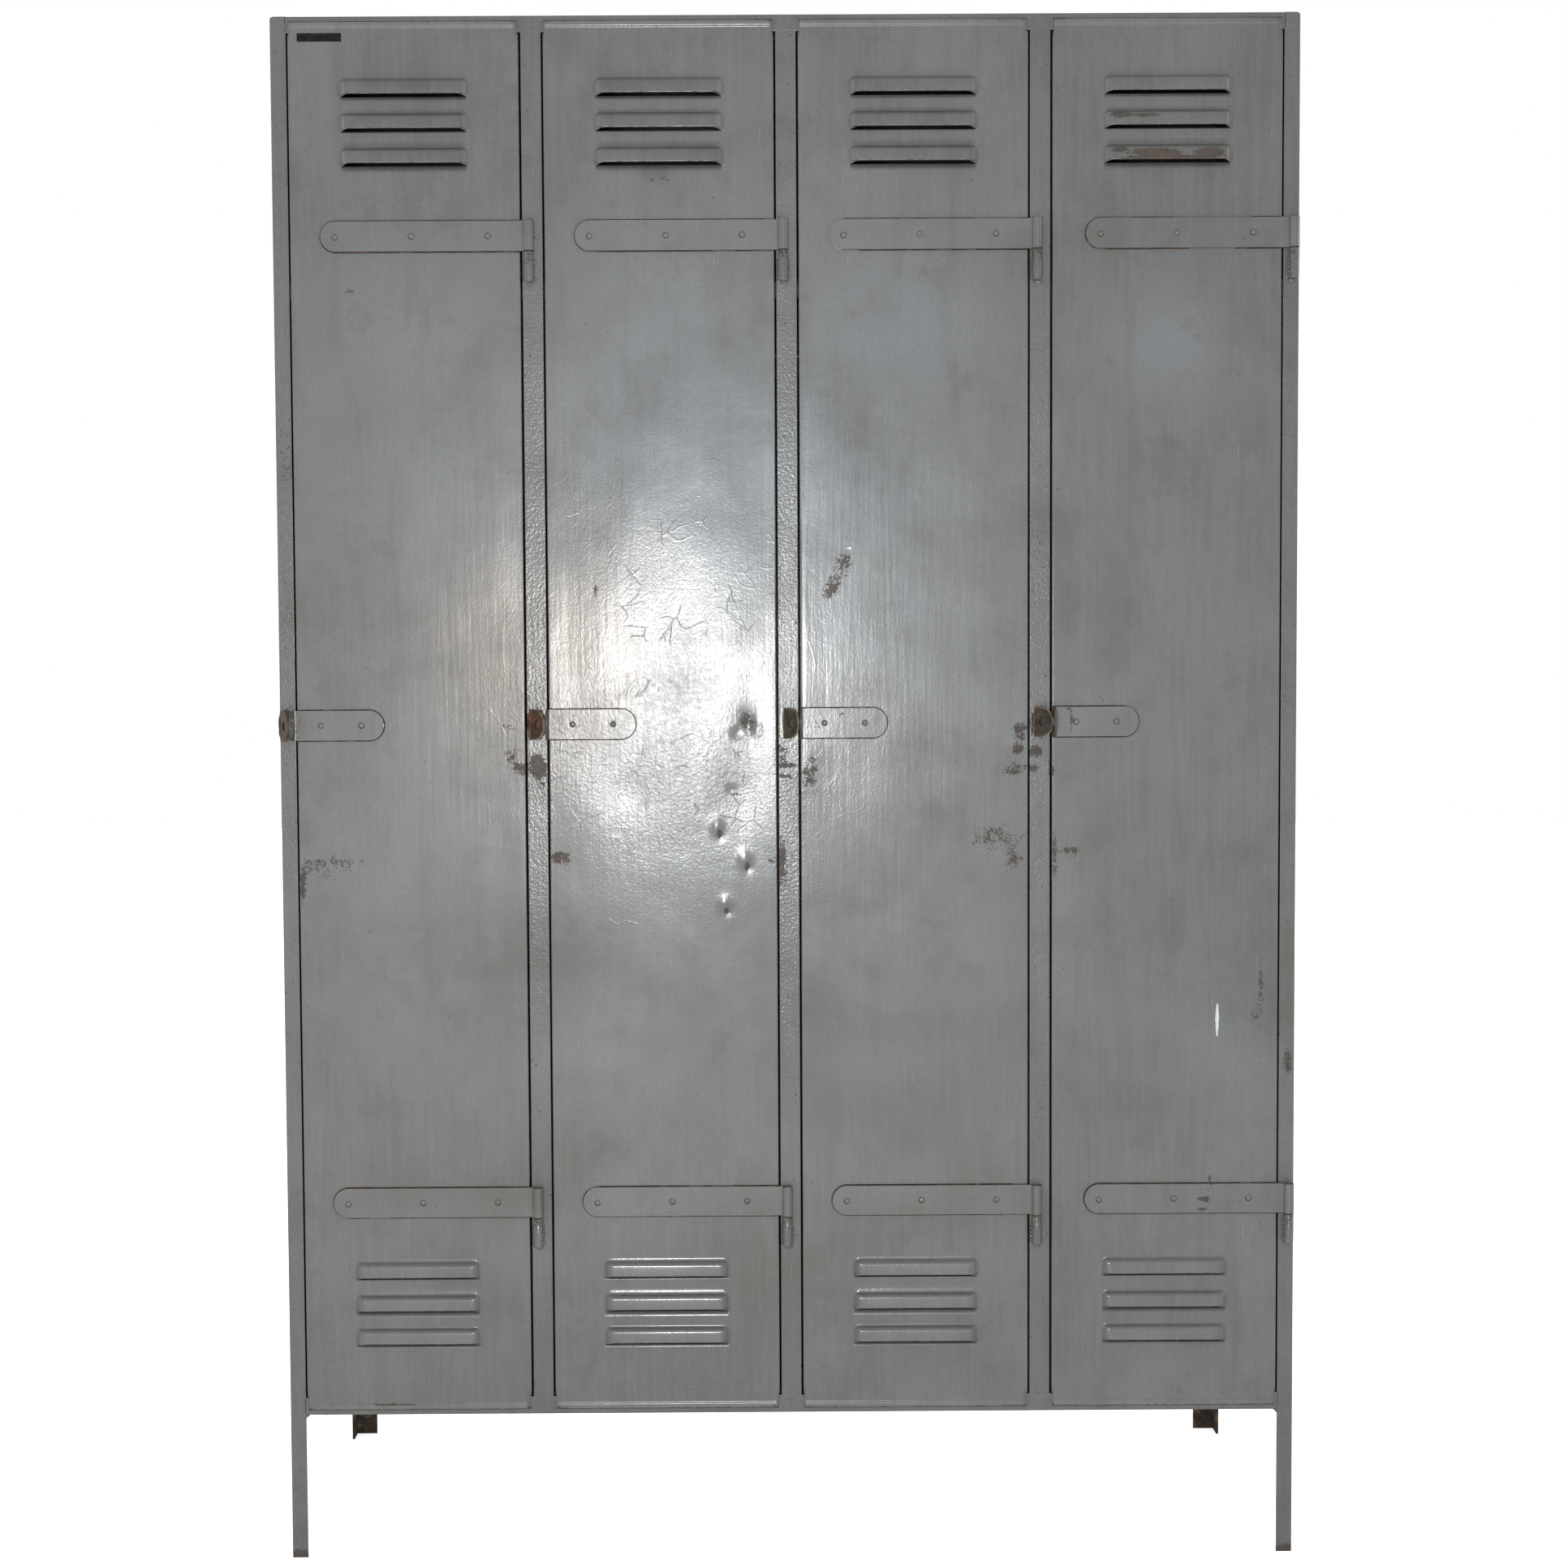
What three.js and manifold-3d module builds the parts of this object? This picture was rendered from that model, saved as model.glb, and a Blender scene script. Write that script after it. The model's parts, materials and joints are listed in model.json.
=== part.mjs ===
// A four-door steel school locker on legs, in millimetres, +Z up, front towards -Y.
// An angle-iron frame carries sheet panels, partitions, shelves and coat rails. Each of the four doors
// is a folded sheet with pressed louvres, hung on two strap hinges and closed by a padlock hasp.
// The origin is on the floor, under the middle of the whole object.

import * as THREE from "three";
import { ConvexGeometry } from "three/addons/geometries/ConvexGeometry.js";
import { mergeVertices } from "three/addons/utils/BufferGeometryUtils.js";
import Module from "manifold-3d";

const wasm = await Module();
wasm.setup();

// Driving dimensions.
const WIDTH = 1185;
const HEIGHT = 1800;
const BODY_DEPTH = 500;
const LEG_HEIGHT = 171;
const DOOR_COUNT = 4;
const DOOR_PITCH = 293;
const MULLION_WIDTH = 22;
const TOP_RAIL_HEIGHT = 19;
const BOTTOM_RAIL_HEIGHT = 21;

// Stock: angle iron, panel sheet, door sheet, strap steel, and the gap left between touching pieces.
const ANGLE = 3;
const SHEET = 1.2;
const DOOR_SHEET = 1.5;
const STRAP = 2.5;
const FIT = 0.3;

// The lugs on the doors are what reaches furthest forward.
const DOOR_PROUD = 2;
const LUG_LENGTH = 28;
const LUG_ROOT = 1;
const LATCH_REACH = DOOR_PROUD + FIT + STRAP - LUG_ROOT + LUG_LENGTH;
const FRONT = -(BODY_DEPTH + LATCH_REACH) / 2 + LATCH_REACH;
const BACK = FRONT + BODY_DEPTH;

// Frame.
const HALF = WIDTH / 2;
const STILE_FACE = (WIDTH - DOOR_COUNT * DOOR_PITCH + MULLION_WIDTH) / 2;
const FLANGE = 25;
const REAR_FLANGE = 30;
const CORNER_RADIUS = 4.5;
const GUSSET = 4.5;
const MULLION_SHEET = 2;
const MULLION_DEPTH = 20;
const INNER_X = HALF - ANGLE - FIT;
const TOP_SHEET_Z = HEIGHT - ANGLE - FIT - SHEET;
const FLOOR_Z = LEG_HEIGHT + ANGLE + FIT + SHEET;
const BACK_SHEET_Y = BACK - ANGLE - FIT - SHEET;

// Fittings inside each compartment.
const SHELF_Z = 1500;
const SHELF_SETBACK = 32;
const SHELF_LIP = 18;
const RAIL_Z = 1440;
const RAIL_RADIUS = 8;
const RAIL_CUP_RADIUS = 14;
const RAIL_CUP_DEPTH = 3;

// Doors. The door face stands proud of the frame, and its top and bottom edges lap over the rails.
const DOOR_GAP = 3;
const DOOR_WIDTH = DOOR_PITCH - MULLION_WIDTH - 2 * DOOR_GAP;
const DOOR_RETURN = 15;
const DOOR_LIP = 10;
const DOOR_RADIUS = 3;
const RAIL_CLEARANCE = 2;
const DOOR_TOP = HEIGHT - 7;
const DOOR_BOTTOM = LEG_HEIGHT + 7;
const FLARE_HEIGHT = 6;
const FLARE_OUT = 1.6;
const LAP_ROOT = 12;

// Louvres: three near the top and three near the bottom of each door, with hoods that open downwards.
const LOUVRE_LIPS = [1710.5, 1671.2, 1631.9, 336, 296.5, 257];
const LOUVRE_WIDTH = 147;
const LOUVRE_HEIGHT = 18.5;
const LOUVRE_OUT = 6.5;
const LOUVRE_SLOT = 3.6;
const LOUVRE_END_SLOPE = 9;
const LOUVRE_NOSE = 0.3;
const LOUVRE_SHOULDER = 0.7;
const LOUVRE_SHOULDER_BACK = 0.35;

// Strap hinges, lifted off a pin that stands on the frame.
const STRAP_HEIGHT = 35;
const HINGE_HEIGHTS = { top: 1549, bottom: 424.5 };
const KNUCKLE_RADIUS = 6;
const PIN_RADIUS = 3.5;
const BORE_RADIUS = 3.9;
const KNUCKLE_GAP = 0.6;
const AXIS_PROUD = 6.5;
const STRAP_LENGTH = 240;
const HINGE_RIVETS = [17, 105, 193];
const RIVET_RADIUS = 4;
const RIVET_CROWN_RADIUS = 2.4;
const RIVET_SHOULDER = 1.28;
const RIVET_HEIGHT = 1.6;
const RIVET_SINK = 1;
const PIN_SHORT_OF_TOP = 2;
const PIN_CHAMFER = 1;
const WELD_SIDE = 0.8;
const WELD_SHORT_OF_TOP = 3;
const WELD_OVERRUN = 1;

// Hasps, and the lugs on the frame that they close against. Use has bent the frame lugs over.
const HASP_Z = 986;
const HASP_LENGTH = 101;
const HASP_RIVETS = [28, 75];
const LUG_HEIGHT = 36;
const LUG_FOOT = 7;
const LUG_FOOT_OVERLAP = 2;
const LUG_STRAIGHT = 4;
const LUG_FULLNESS = 0.8;
const LUG_NOSE_HALF = 0.6;
const SHACKLE_HOLE_OUT = 14.56;
const SHACKLE_RADIUS = 5.5;
const LATCHES = [
  { bend: 5.3, root: 20.3, foot: 0, lean: 26 },
  { bend: 2.5, root: 23.2, foot: 1.5, lean: 40 },
  { bend: 1.2, root: 20.5, foot: 4, lean: 36.5 },
  { bend: -0.2, root: 22.5, foot: 2, lean: 47 },
];

// Door 4's hinges sit further out, on the corner stile.
const AXIS_FROM_DOOR = [10, 10, 10, 13.5];

const paint = { color: 0x7d817f, roughness: 0.42, metalness: 0.15 };
const innerPaint = { color: 0x6f7371, roughness: 0.6, metalness: 0.1 };
const rustedSteel = { color: 0x4b3a2d, roughness: 0.55, metalness: 0.5 };
const tubeSteel = { color: 0x8b8a86, roughness: 0.4, metalness: 0.8 };

// Solids from three.js geometry, and back again.

function toSolid(geometry) {
  const bare = geometry.clone();
  bare.deleteAttribute("normal");
  bare.deleteAttribute("uv");
  const merged = mergeVertices(bare, 1e-4);
  const vertProperties = Float32Array.from(merged.attributes.position.array);
  const triVerts = Uint32Array.from(merged.index.array);
  return new wasm.Manifold(new wasm.Mesh({ numProp: 3, vertProperties, triVerts }));
}

function toGeometry(solid) {
  const { vertProperties, triVerts } = solid.getMesh();
  const geometry = new THREE.BufferGeometry();
  geometry.setAttribute("position", new THREE.BufferAttribute(vertProperties, 3));
  geometry.setIndex(new THREE.BufferAttribute(triVerts, 1));
  geometry.computeVertexNormals();
  return geometry;
}

function joined(...solids) {
  return solids.reduce((sum, solid) => sum.add(solid));
}

function polygon(points) {
  return new THREE.Shape(points.map(([u, v]) => new THREE.Vector2(u, v)));
}

function extruded(shape, depth, curveSegments = 6) {
  return new THREE.ExtrudeGeometry(shape, { depth, bevelEnabled: false, curveSegments });
}

// A section drawn in X and Y, running up from z0 to z1.
function upright(shape, z0, z1) {
  return toSolid(extruded(shape, z1 - z0).translate(0, 0, z0));
}

// A section drawn in Y and Z, running across from x0 to x1.
function crossways(shape, x0, x1) {
  const turn = new THREE.Matrix4().set(0, 0, 1, x0, 1, 0, 0, 0, 0, 1, 0, 0, 0, 0, 0, 1);
  return toSolid(extruded(shape, x1 - x0).applyMatrix4(turn));
}

// A section drawn in X and Z, running back from y0 to y1.
function lengthways(shape, y0, y1) {
  return toSolid(extruded(shape, y1 - y0).rotateX(Math.PI / 2).translate(0, y1, 0));
}

function block(x0, x1, y0, y1, z0, z1) {
  const box = new THREE.BoxGeometry(x1 - x0, y1 - y0, z1 - z0);
  return toSolid(box.translate((x0 + x1) / 2, (y0 + y1) / 2, (z0 + z1) / 2));
}

function turned(profile, sides) {
  const points = profile.map(([radius, z]) => new THREE.Vector2(radius, z));
  return toSolid(new THREE.LatheGeometry(points, sides).rotateX(Math.PI / 2));
}

const locker = new THREE.Group();

function place(parent, name, solid, material, position = [0, 0, 0]) {
  const mesh = new THREE.Mesh(toGeometry(solid), new THREE.MeshStandardMaterial(material));
  mesh.name = name;
  mesh.position.set(...position);
  parent.add(mesh);
}

// Frame pieces. side is -1 on the left and 1 on the right.

function frontStile(side) {
  const outer = side * HALF;
  const inner = side * (HALF - STILE_FACE);
  const web = side * (HALF - ANGLE);
  const section = polygon([
    [outer, FRONT],
    [inner, FRONT],
    [inner, FRONT + ANGLE],
    [web, FRONT + ANGLE],
    [web, FRONT + FLANGE],
    [outer, FRONT + FLANGE],
  ]);
  const outline = new THREE.Shape();
  outline.moveTo(inner, 0);
  outline.lineTo(outer, 0);
  outline.lineTo(outer, HEIGHT - CORNER_RADIUS);
  outline.quadraticCurveTo(outer, HEIGHT, outer - side * CORNER_RADIUS, HEIGHT);
  outline.lineTo(inner, HEIGHT);
  const underRail = LEG_HEIGHT - FIT;
  const gusset = polygon([
    [inner + side, underRail],
    [inner - side * GUSSET, underRail],
    [inner, underRail - GUSSET],
    [inner + side, underRail - GUSSET],
  ]);
  const angle = upright(section, 0, HEIGHT).intersect(lengthways(outline, FRONT - 1, FRONT + FLANGE + 1));
  return angle.add(lengthways(gusset, FRONT, FRONT + ANGLE));
}

function rearStile(side) {
  const outer = side * HALF;
  const section = polygon([
    [outer, BACK],
    [outer - side * REAR_FLANGE, BACK],
    [outer - side * REAR_FLANGE, BACK - ANGLE],
    [outer - side * ANGLE, BACK - ANGLE],
    [outer - side * ANGLE, BACK - REAR_FLANGE],
    [outer, BACK - REAR_FLANGE],
  ]);
  return upright(section, 0, HEIGHT);
}

// An angle rail between two stiles. The lying flange is at the level z, and the standing flange goes
// from there to zFace. faceY is the outer face and inward points into the body.
function crossRail(halfLength, faceY, inward, z, zFace) {
  const lying = z + Math.sign(zFace - z) * ANGLE;
  const section = polygon([
    [faceY, z],
    [faceY + inward * FLANGE, z],
    [faceY + inward * FLANGE, lying],
    [faceY + inward * ANGLE, lying],
    [faceY + inward * ANGLE, zFace],
    [faceY, zFace],
  ]);
  const corner = [faceY + inward * (ANGLE + FIT), faceY + inward * FLANGE].sort((a, b) => a - b);
  const levels = [z, lying].sort((a, b) => a - b);
  return joined(
    crossways(section, -halfLength, halfLength),
    block(-INNER_X, INNER_X, corner[0], corner[1], levels[0], levels[1])
  );
}

function sideRail(side, z, zFace) {
  const lying = z + Math.sign(zFace - z) * ANGLE;
  const outer = side * HALF;
  const web = side * (HALF - ANGLE);
  const section = polygon([
    [outer, z],
    [outer - side * FLANGE, z],
    [outer - side * FLANGE, lying],
    [web, lying],
    [web, zFace],
    [outer, zFace],
  ]);
  const standing = lengthways(section, FRONT + FLANGE + FIT, BACK - REAR_FLANGE - FIT);
  const lyingEnd = [z, lying].sort((a, b) => a - b);
  const ends = [side * INNER_X, outer - side * FLANGE].sort((a, b) => a - b);
  return standing.add(block(ends[0], ends[1], FRONT + FLANGE + FIT, BACK - FLANGE - FIT, ...lyingEnd));
}

// A folded channel, open to the rear, that the two doors beside it close against.
function mullion() {
  const half = MULLION_WIDTH / 2;
  const inner = half - MULLION_SHEET;
  const section = polygon([
    [-half, FRONT],
    [half, FRONT],
    [half, FRONT + MULLION_DEPTH],
    [inner, FRONT + MULLION_DEPTH],
    [inner, FRONT + MULLION_SHEET],
    [-inner, FRONT + MULLION_SHEET],
    [-inner, FRONT + MULLION_DEPTH],
    [-half, FRONT + MULLION_DEPTH],
  ]);
  return upright(section, LEG_HEIGHT + BOTTOM_RAIL_HEIGHT + FIT, HEIGHT - TOP_RAIL_HEIGHT - FIT);
}

// Interior fittings, which fill a compartment from x0 to x1.

function hatShelf(x0, x1) {
  const y0 = FRONT + SHELF_SETBACK;
  const y1 = BACK_SHEET_Y - FIT;
  const section = polygon([
    [y0, SHELF_Z],
    [y0, SHELF_Z - SHELF_LIP],
    [y0 + DOOR_LIP, SHELF_Z - SHELF_LIP],
    [y0 + DOOR_LIP, SHELF_Z - SHELF_LIP + SHEET],
    [y0 + SHEET, SHELF_Z - SHELF_LIP + SHEET],
    [y0 + SHEET, SHELF_Z - SHEET],
    [y1, SHELF_Z - SHEET],
    [y1, SHELF_Z],
  ]);
  return crossways(section, x0, x1);
}

function coatRail(length) {
  const profile = [
    [0, 0],
    [RAIL_CUP_RADIUS, 0],
    [RAIL_CUP_RADIUS, RAIL_CUP_DEPTH],
    [RAIL_RADIUS, RAIL_CUP_DEPTH],
    [RAIL_RADIUS, length - RAIL_CUP_DEPTH],
    [RAIL_CUP_RADIUS, length - RAIL_CUP_DEPTH],
    [RAIL_CUP_RADIUS, length],
    [0, length],
  ];
  return turned(profile, 20).rotate([0, 90, 0]);
}

// Door pieces. Their origin is the hinge axis, at floor level, and they lie along -X.

const FACE_Y = AXIS_PROUD - DOOR_PROUD;
const SHEET_BACK_Y = FACE_Y + DOOR_SHEET;

function doorTray(x0, x1) {
  const back = FACE_Y + DOOR_RETURN;
  const t = DOOR_SHEET;
  const section = new THREE.Shape();
  section.moveTo(x0 + DOOR_LIP, back);
  section.lineTo(x0, back);
  section.lineTo(x0, FACE_Y + DOOR_RADIUS);
  section.quadraticCurveTo(x0, FACE_Y, x0 + DOOR_RADIUS, FACE_Y);
  section.lineTo(x1 - DOOR_RADIUS, FACE_Y);
  section.quadraticCurveTo(x1, FACE_Y, x1, FACE_Y + DOOR_RADIUS);
  section.lineTo(x1, back);
  section.lineTo(x1 - DOOR_LIP, back);
  section.lineTo(x1 - DOOR_LIP, back - t);
  section.lineTo(x1 - t, back - t);
  section.lineTo(x1 - t, SHEET_BACK_Y);
  section.lineTo(x0 + t, SHEET_BACK_Y);
  section.lineTo(x0 + t, back - t);
  section.lineTo(x0 + DOOR_LIP, back - t);
  const low = LEG_HEIGHT + BOTTOM_RAIL_HEIGHT + RAIL_CLEARANCE;
  const high = HEIGHT - TOP_RAIL_HEIGHT - RAIL_CLEARANCE;
  return upright(section, low, high);
}

// The edge of the sheet that laps over a rail and flares outwards. up is 1 at the top, -1 at the bottom.
function doorLap(x0, x1, edge, up) {
  const knee = edge - up * FLARE_HEIGHT;
  const root = edge - up * (FLARE_HEIGHT + TOP_RAIL_HEIGHT + LAP_ROOT);
  const section = polygon([
    [FACE_Y, root],
    [FACE_Y, knee],
    [FACE_Y - FLARE_OUT, edge],
    [SHEET_BACK_Y - FLARE_OUT, edge],
    [SHEET_BACK_Y, knee],
    [SHEET_BACK_Y, root],
  ]);
  return crossways(section, x0 + DOOR_RADIUS, x1 - DOOR_RADIUS);
}

// A louvre hood as a convex body: shrink is 0 for the outside and the sheet's thickness for the hollow.
// The hood is upright from its lip to its nose, then slopes back by way of the shoulder.
function louvreHull(centre, lip, shrink) {
  const end = LOUVRE_WIDTH / 2 - shrink;
  const front = FACE_Y - LOUVRE_OUT + shrink;
  const low = shrink > 0 ? lip - LOUVRE_SLOT : lip;
  const high = lip + LOUVRE_HEIGHT - shrink;
  const rear = shrink > 0 ? SHEET_BACK_Y + 1 : FACE_Y + DOOR_SHEET / 2;
  const nose = lip + LOUVRE_HEIGHT * LOUVRE_NOSE;
  const shoulder = lip + LOUVRE_HEIGHT * LOUVRE_SHOULDER;
  const points = [];
  for (const way of [-1, 1]) {
    const corner = centre + way * end;
    const ridge = centre + way * (end - LOUVRE_END_SLOPE);
    points.push(new THREE.Vector3(corner, rear, low));
    points.push(new THREE.Vector3(corner, rear, high));
    points.push(new THREE.Vector3(corner, FACE_Y + shrink, low));
    points.push(new THREE.Vector3(corner, FACE_Y + shrink, high));
    points.push(new THREE.Vector3(ridge, front, low));
    points.push(new THREE.Vector3(ridge, front, nose));
    points.push(new THREE.Vector3(ridge, front + LOUVRE_OUT * LOUVRE_SHOULDER_BACK, shoulder));
  }
  return toSolid(new ConvexGeometry(points));
}

function doorPanel(axisGap) {
  const x1 = -axisGap;
  const x0 = x1 - DOOR_WIDTH;
  const centre = (x0 + x1) / 2;
  const sheet = joined(doorTray(x0, x1), doorLap(x0, x1, DOOR_TOP, 1), doorLap(x0, x1, DOOR_BOTTOM, -1));
  return LOUVRE_LIPS.reduce((panel, lip) => {
    const hood = louvreHull(centre, lip, 0);
    return panel.add(hood).subtract(louvreHull(centre, lip, DOOR_SHEET));
  }, sheet);
}

// A rivet head, whose root is sunk into the plate it stands on.
function rivetHead(x, plateFront, z) {
  const profile = [
    [0, 0],
    [RIVET_RADIUS, 0],
    [RIVET_RADIUS, RIVET_SINK],
    [RIVET_CROWN_RADIUS, RIVET_SINK + RIVET_SHOULDER],
    [0, RIVET_SINK + RIVET_HEIGHT],
  ];
  return turned(profile, 10).rotate([90, 0, 0]).translate([x, plateFront + RIVET_SINK, z]);
}

// A strap with one square end at x0 and one rounded end at x1, seen from the front, centred on z = 0.
function strapPlate(square, round, y0, y1) {
  const half = STRAP_HEIGHT / 2;
  const way = Math.sign(round - square);
  const outline = new THREE.Shape();
  outline.moveTo(square, -half);
  outline.lineTo(round - way * half, -half);
  outline.absarc(round - way * half, 0, half, -Math.PI / 2, Math.PI / 2, way < 0);
  outline.lineTo(square, half);
  return lengthways(outline, y0, y1);
}

const STRAP_BACK_Y = FACE_Y - FIT;
const STRAP_FRONT_Y = STRAP_BACK_Y - STRAP;

function hingeStrap() {
  const half = STRAP_HEIGHT / 2;
  const end = -STRAP_LENGTH;
  const barrel = turned([[0, -half], [KNUCKLE_RADIUS, -half], [KNUCKLE_RADIUS, half], [0, half]], 20);
  const bore = turned([[0, -half - 1], [BORE_RADIUS, -half - 1], [BORE_RADIUS, half + 1], [0, half + 1]], 20);
  const plate = strapPlate(-KNUCKLE_RADIUS / 2, end, STRAP_FRONT_Y, STRAP_BACK_Y);
  const rivets = HINGE_RIVETS.map((from) => rivetHead(end + from, STRAP_FRONT_Y, 0));
  return joined(barrel, plate, ...rivets).subtract(bore);
}

// The lower knuckle and its pin, welded to the frame.
function hingePin() {
  const half = STRAP_HEIGHT / 2;
  const top = -half - KNUCKLE_GAP;
  const foot = top - STRAP_HEIGHT;
  const tip = half - PIN_SHORT_OF_TOP;
  const profile = [
    [0, foot],
    [KNUCKLE_RADIUS, foot],
    [KNUCKLE_RADIUS, top],
    [PIN_RADIUS, top],
    [PIN_RADIUS, tip - PIN_CHAMFER],
    [PIN_RADIUS - PIN_CHAMFER, tip],
    [0, tip],
  ];
  const weld = polygon([
    [0, AXIS_PROUD - FIT],
    [KNUCKLE_RADIUS + WELD_SIDE, AXIS_PROUD - FIT],
    [KNUCKLE_RADIUS - WELD_OVERRUN, 0],
    [0, 0],
  ]);
  return turned(profile, 20).add(upright(weld, foot - WELD_OVERRUN, top - WELD_SHORT_OF_TOP));
}

// A flat lug with a round end and a shackle hole. It stands in the YZ plane, pointing to -Y.
function lugPlate(height) {
  const half = height / 2;
  const full = LUG_LENGTH * LUG_FULLNESS;
  const noseHalf = half * LUG_NOSE_HALF;
  const outline = new THREE.Shape();
  outline.moveTo(0, -half);
  outline.lineTo(0, half);
  outline.lineTo(-LUG_STRAIGHT, half);
  outline.bezierCurveTo(-full, half, -LUG_LENGTH, noseHalf, -LUG_LENGTH, 0);
  outline.bezierCurveTo(-LUG_LENGTH, -noseHalf, -full, -half, -LUG_STRAIGHT, -half);
  const hole = new THREE.Path();
  hole.absarc(-SHACKLE_HOLE_OUT, 0, SHACKLE_RADIUS, 0, 2 * Math.PI, true);
  outline.holes.push(hole);
  return crossways(outline, 0, STRAP);
}

function hasp(axisGap, latch) {
  const edge = -axisGap - DOOR_WIDTH;
  const bend = edge - latch.bend;
  const plate = strapPlate(bend, edge + HASP_LENGTH, STRAP_FRONT_Y, STRAP_BACK_Y);
  const lug = lugPlate(STRAP_HEIGHT).translate([bend, STRAP_FRONT_Y + LUG_ROOT, 0]);
  const rivets = HASP_RIVETS.map((from) => rivetHead(edge + from, STRAP_FRONT_Y, 0));
  return joined(plate, lug, ...rivets);
}

// The frame's own lug: a foot welded to the frame, and a plate that leans towards the door.
function frameLug(latch) {
  const half = LUG_HEIGHT / 2;
  const foot = block(-latch.foot, LUG_FOOT, -STRAP - FIT, -FIT, -half, half);
  const plate = lugPlate(LUG_HEIGHT).rotate([0, 0, latch.lean]);
  return foot.add(plate.translate([0, -FIT - LUG_FOOT_OVERLAP, 0]));
}

// Assembly.

const topFace = HEIGHT - TOP_RAIL_HEIGHT;
const bottomFace = LEG_HEIGHT + BOTTOM_RAIL_HEIGHT;
const sheetY = [FRONT + ANGLE + FIT, BACK - ANGLE - FIT];
const sideZ = [LEG_HEIGHT + ANGLE + FIT, TOP_SHEET_Z - FIT];

for (const [name, side] of [["left", -1], ["right", 1]]) {
  place(locker, `front_stile_${name}`, frontStile(side), paint);
  place(locker, `rear_stile_${name}`, rearStile(side), paint);
  place(locker, `side_top_rail_${name}`, sideRail(side, HEIGHT, topFace), paint);
  place(locker, `side_bottom_rail_${name}`, sideRail(side, LEG_HEIGHT, bottomFace), paint);
  const faces = [side * INNER_X, side * (INNER_X - SHEET)].sort((a, b) => a - b);
  place(locker, `side_panel_${name}`, block(...faces, ...sheetY, ...sideZ), paint);
}

const frontHalf = HALF - STILE_FACE - FIT;
const rearHalf = HALF - REAR_FLANGE - FIT;
place(locker, "front_top_rail", crossRail(frontHalf, FRONT, 1, HEIGHT, topFace), paint);
place(locker, "front_bottom_rail", crossRail(frontHalf, FRONT, 1, LEG_HEIGHT, bottomFace), paint);
place(locker, "rear_top_rail", crossRail(rearHalf, BACK, -1, HEIGHT, topFace), paint);
place(locker, "rear_bottom_rail", crossRail(rearHalf, BACK, -1, LEG_HEIGHT, bottomFace), paint);

const sheetX = INNER_X - SHEET - FIT;
place(locker, "top_panel", block(-INNER_X, INNER_X, ...sheetY, TOP_SHEET_Z, TOP_SHEET_Z + SHEET), paint);
place(locker, "bottom_panel", block(-sheetX, sheetX, ...sheetY, FLOOR_Z - SHEET, FLOOR_Z), innerPaint);
const wallZ = [FLOOR_Z + FIT, TOP_SHEET_Z - FIT];
place(locker, "back_panel", block(-sheetX, sheetX, BACK_SHEET_Y, BACK_SHEET_Y + SHEET, ...wallZ), paint);

const wallY = [FRONT + ANGLE + FIT, BACK_SHEET_Y - FIT];
for (let k = 1; k < DOOR_COUNT; k++) {
  const x = (k - DOOR_COUNT / 2) * DOOR_PITCH;
  place(locker, `mullion_${k}`, mullion(), paint, [x, 0, 0]);
  place(locker, `partition_${k}`, block(-SHEET / 2, SHEET / 2, ...wallY, ...wallZ), innerPaint, [x, 0, 0]);
}

for (let k = 0; k < DOOR_COUNT; k++) {
  const left = (k - DOOR_COUNT / 2) * DOOR_PITCH;
  const x0 = k === 0 ? -sheetX : left + SHEET / 2 + FIT;
  const x1 = k === DOOR_COUNT - 1 ? sheetX : left + DOOR_PITCH - SHEET / 2 - FIT;
  const number = k + 1;
  place(locker, `hat_shelf_${number}`, hatShelf(x0, x1), innerPaint);
  place(locker, `coat_rail_${number}`, coatRail(x1 - x0), tubeSteel, [x0, (FRONT + BACK) / 2, RAIL_Z]);

  const axisGap = AXIS_FROM_DOOR[k];
  const doorRight = left + DOOR_PITCH - MULLION_WIDTH / 2 - DOOR_GAP;
  const axis = [doorRight + axisGap, FRONT - AXIS_PROUD, 0];
  const latch = LATCHES[k];
  for (const [level, z] of Object.entries(HINGE_HEIGHTS)) {
    place(locker, `hinge_pin_${number}_${level}`, hingePin(), paint, [axis[0], axis[1], z]);
  }
  const root = doorRight - DOOR_WIDTH - latch.root;
  place(locker, `latch_lug_${number}`, frameLug(latch), rustedSteel, [root, FRONT, HASP_Z]);

  const door = new THREE.Group();
  door.position.set(...axis);
  place(door, `door_panel_${number}`, doorPanel(axisGap), paint);
  place(door, `hinge_strap_${number}_top`, hingeStrap(), paint, [0, 0, HINGE_HEIGHTS.top]);
  place(door, `hinge_strap_${number}_bottom`, hingeStrap(), paint, [0, 0, HINGE_HEIGHTS.bottom]);
  place(door, `hasp_${number}`, hasp(axisGap, latch), paint, [0, 0, HASP_Z]);
  locker.add(door);
}

export default locker;
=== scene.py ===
"""A four-door steel school locker: its looks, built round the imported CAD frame. Lengths are in metres.

The folded, rolled and welded pieces that the eye goes to (doors, front frame, mullions, hinge straps, pins,
hasps and lugs) are rebuilt here as fine meshes in place of their CAD nodes. The panels, partitions, shelves,
coat rails, rear stiles, and rear and side rails stay as the CAD made them. Every surface has a node material.
"""

import json
import math

import bmesh
import bpy
import numpy as np
from mathutils import Matrix, Vector, noise


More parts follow.
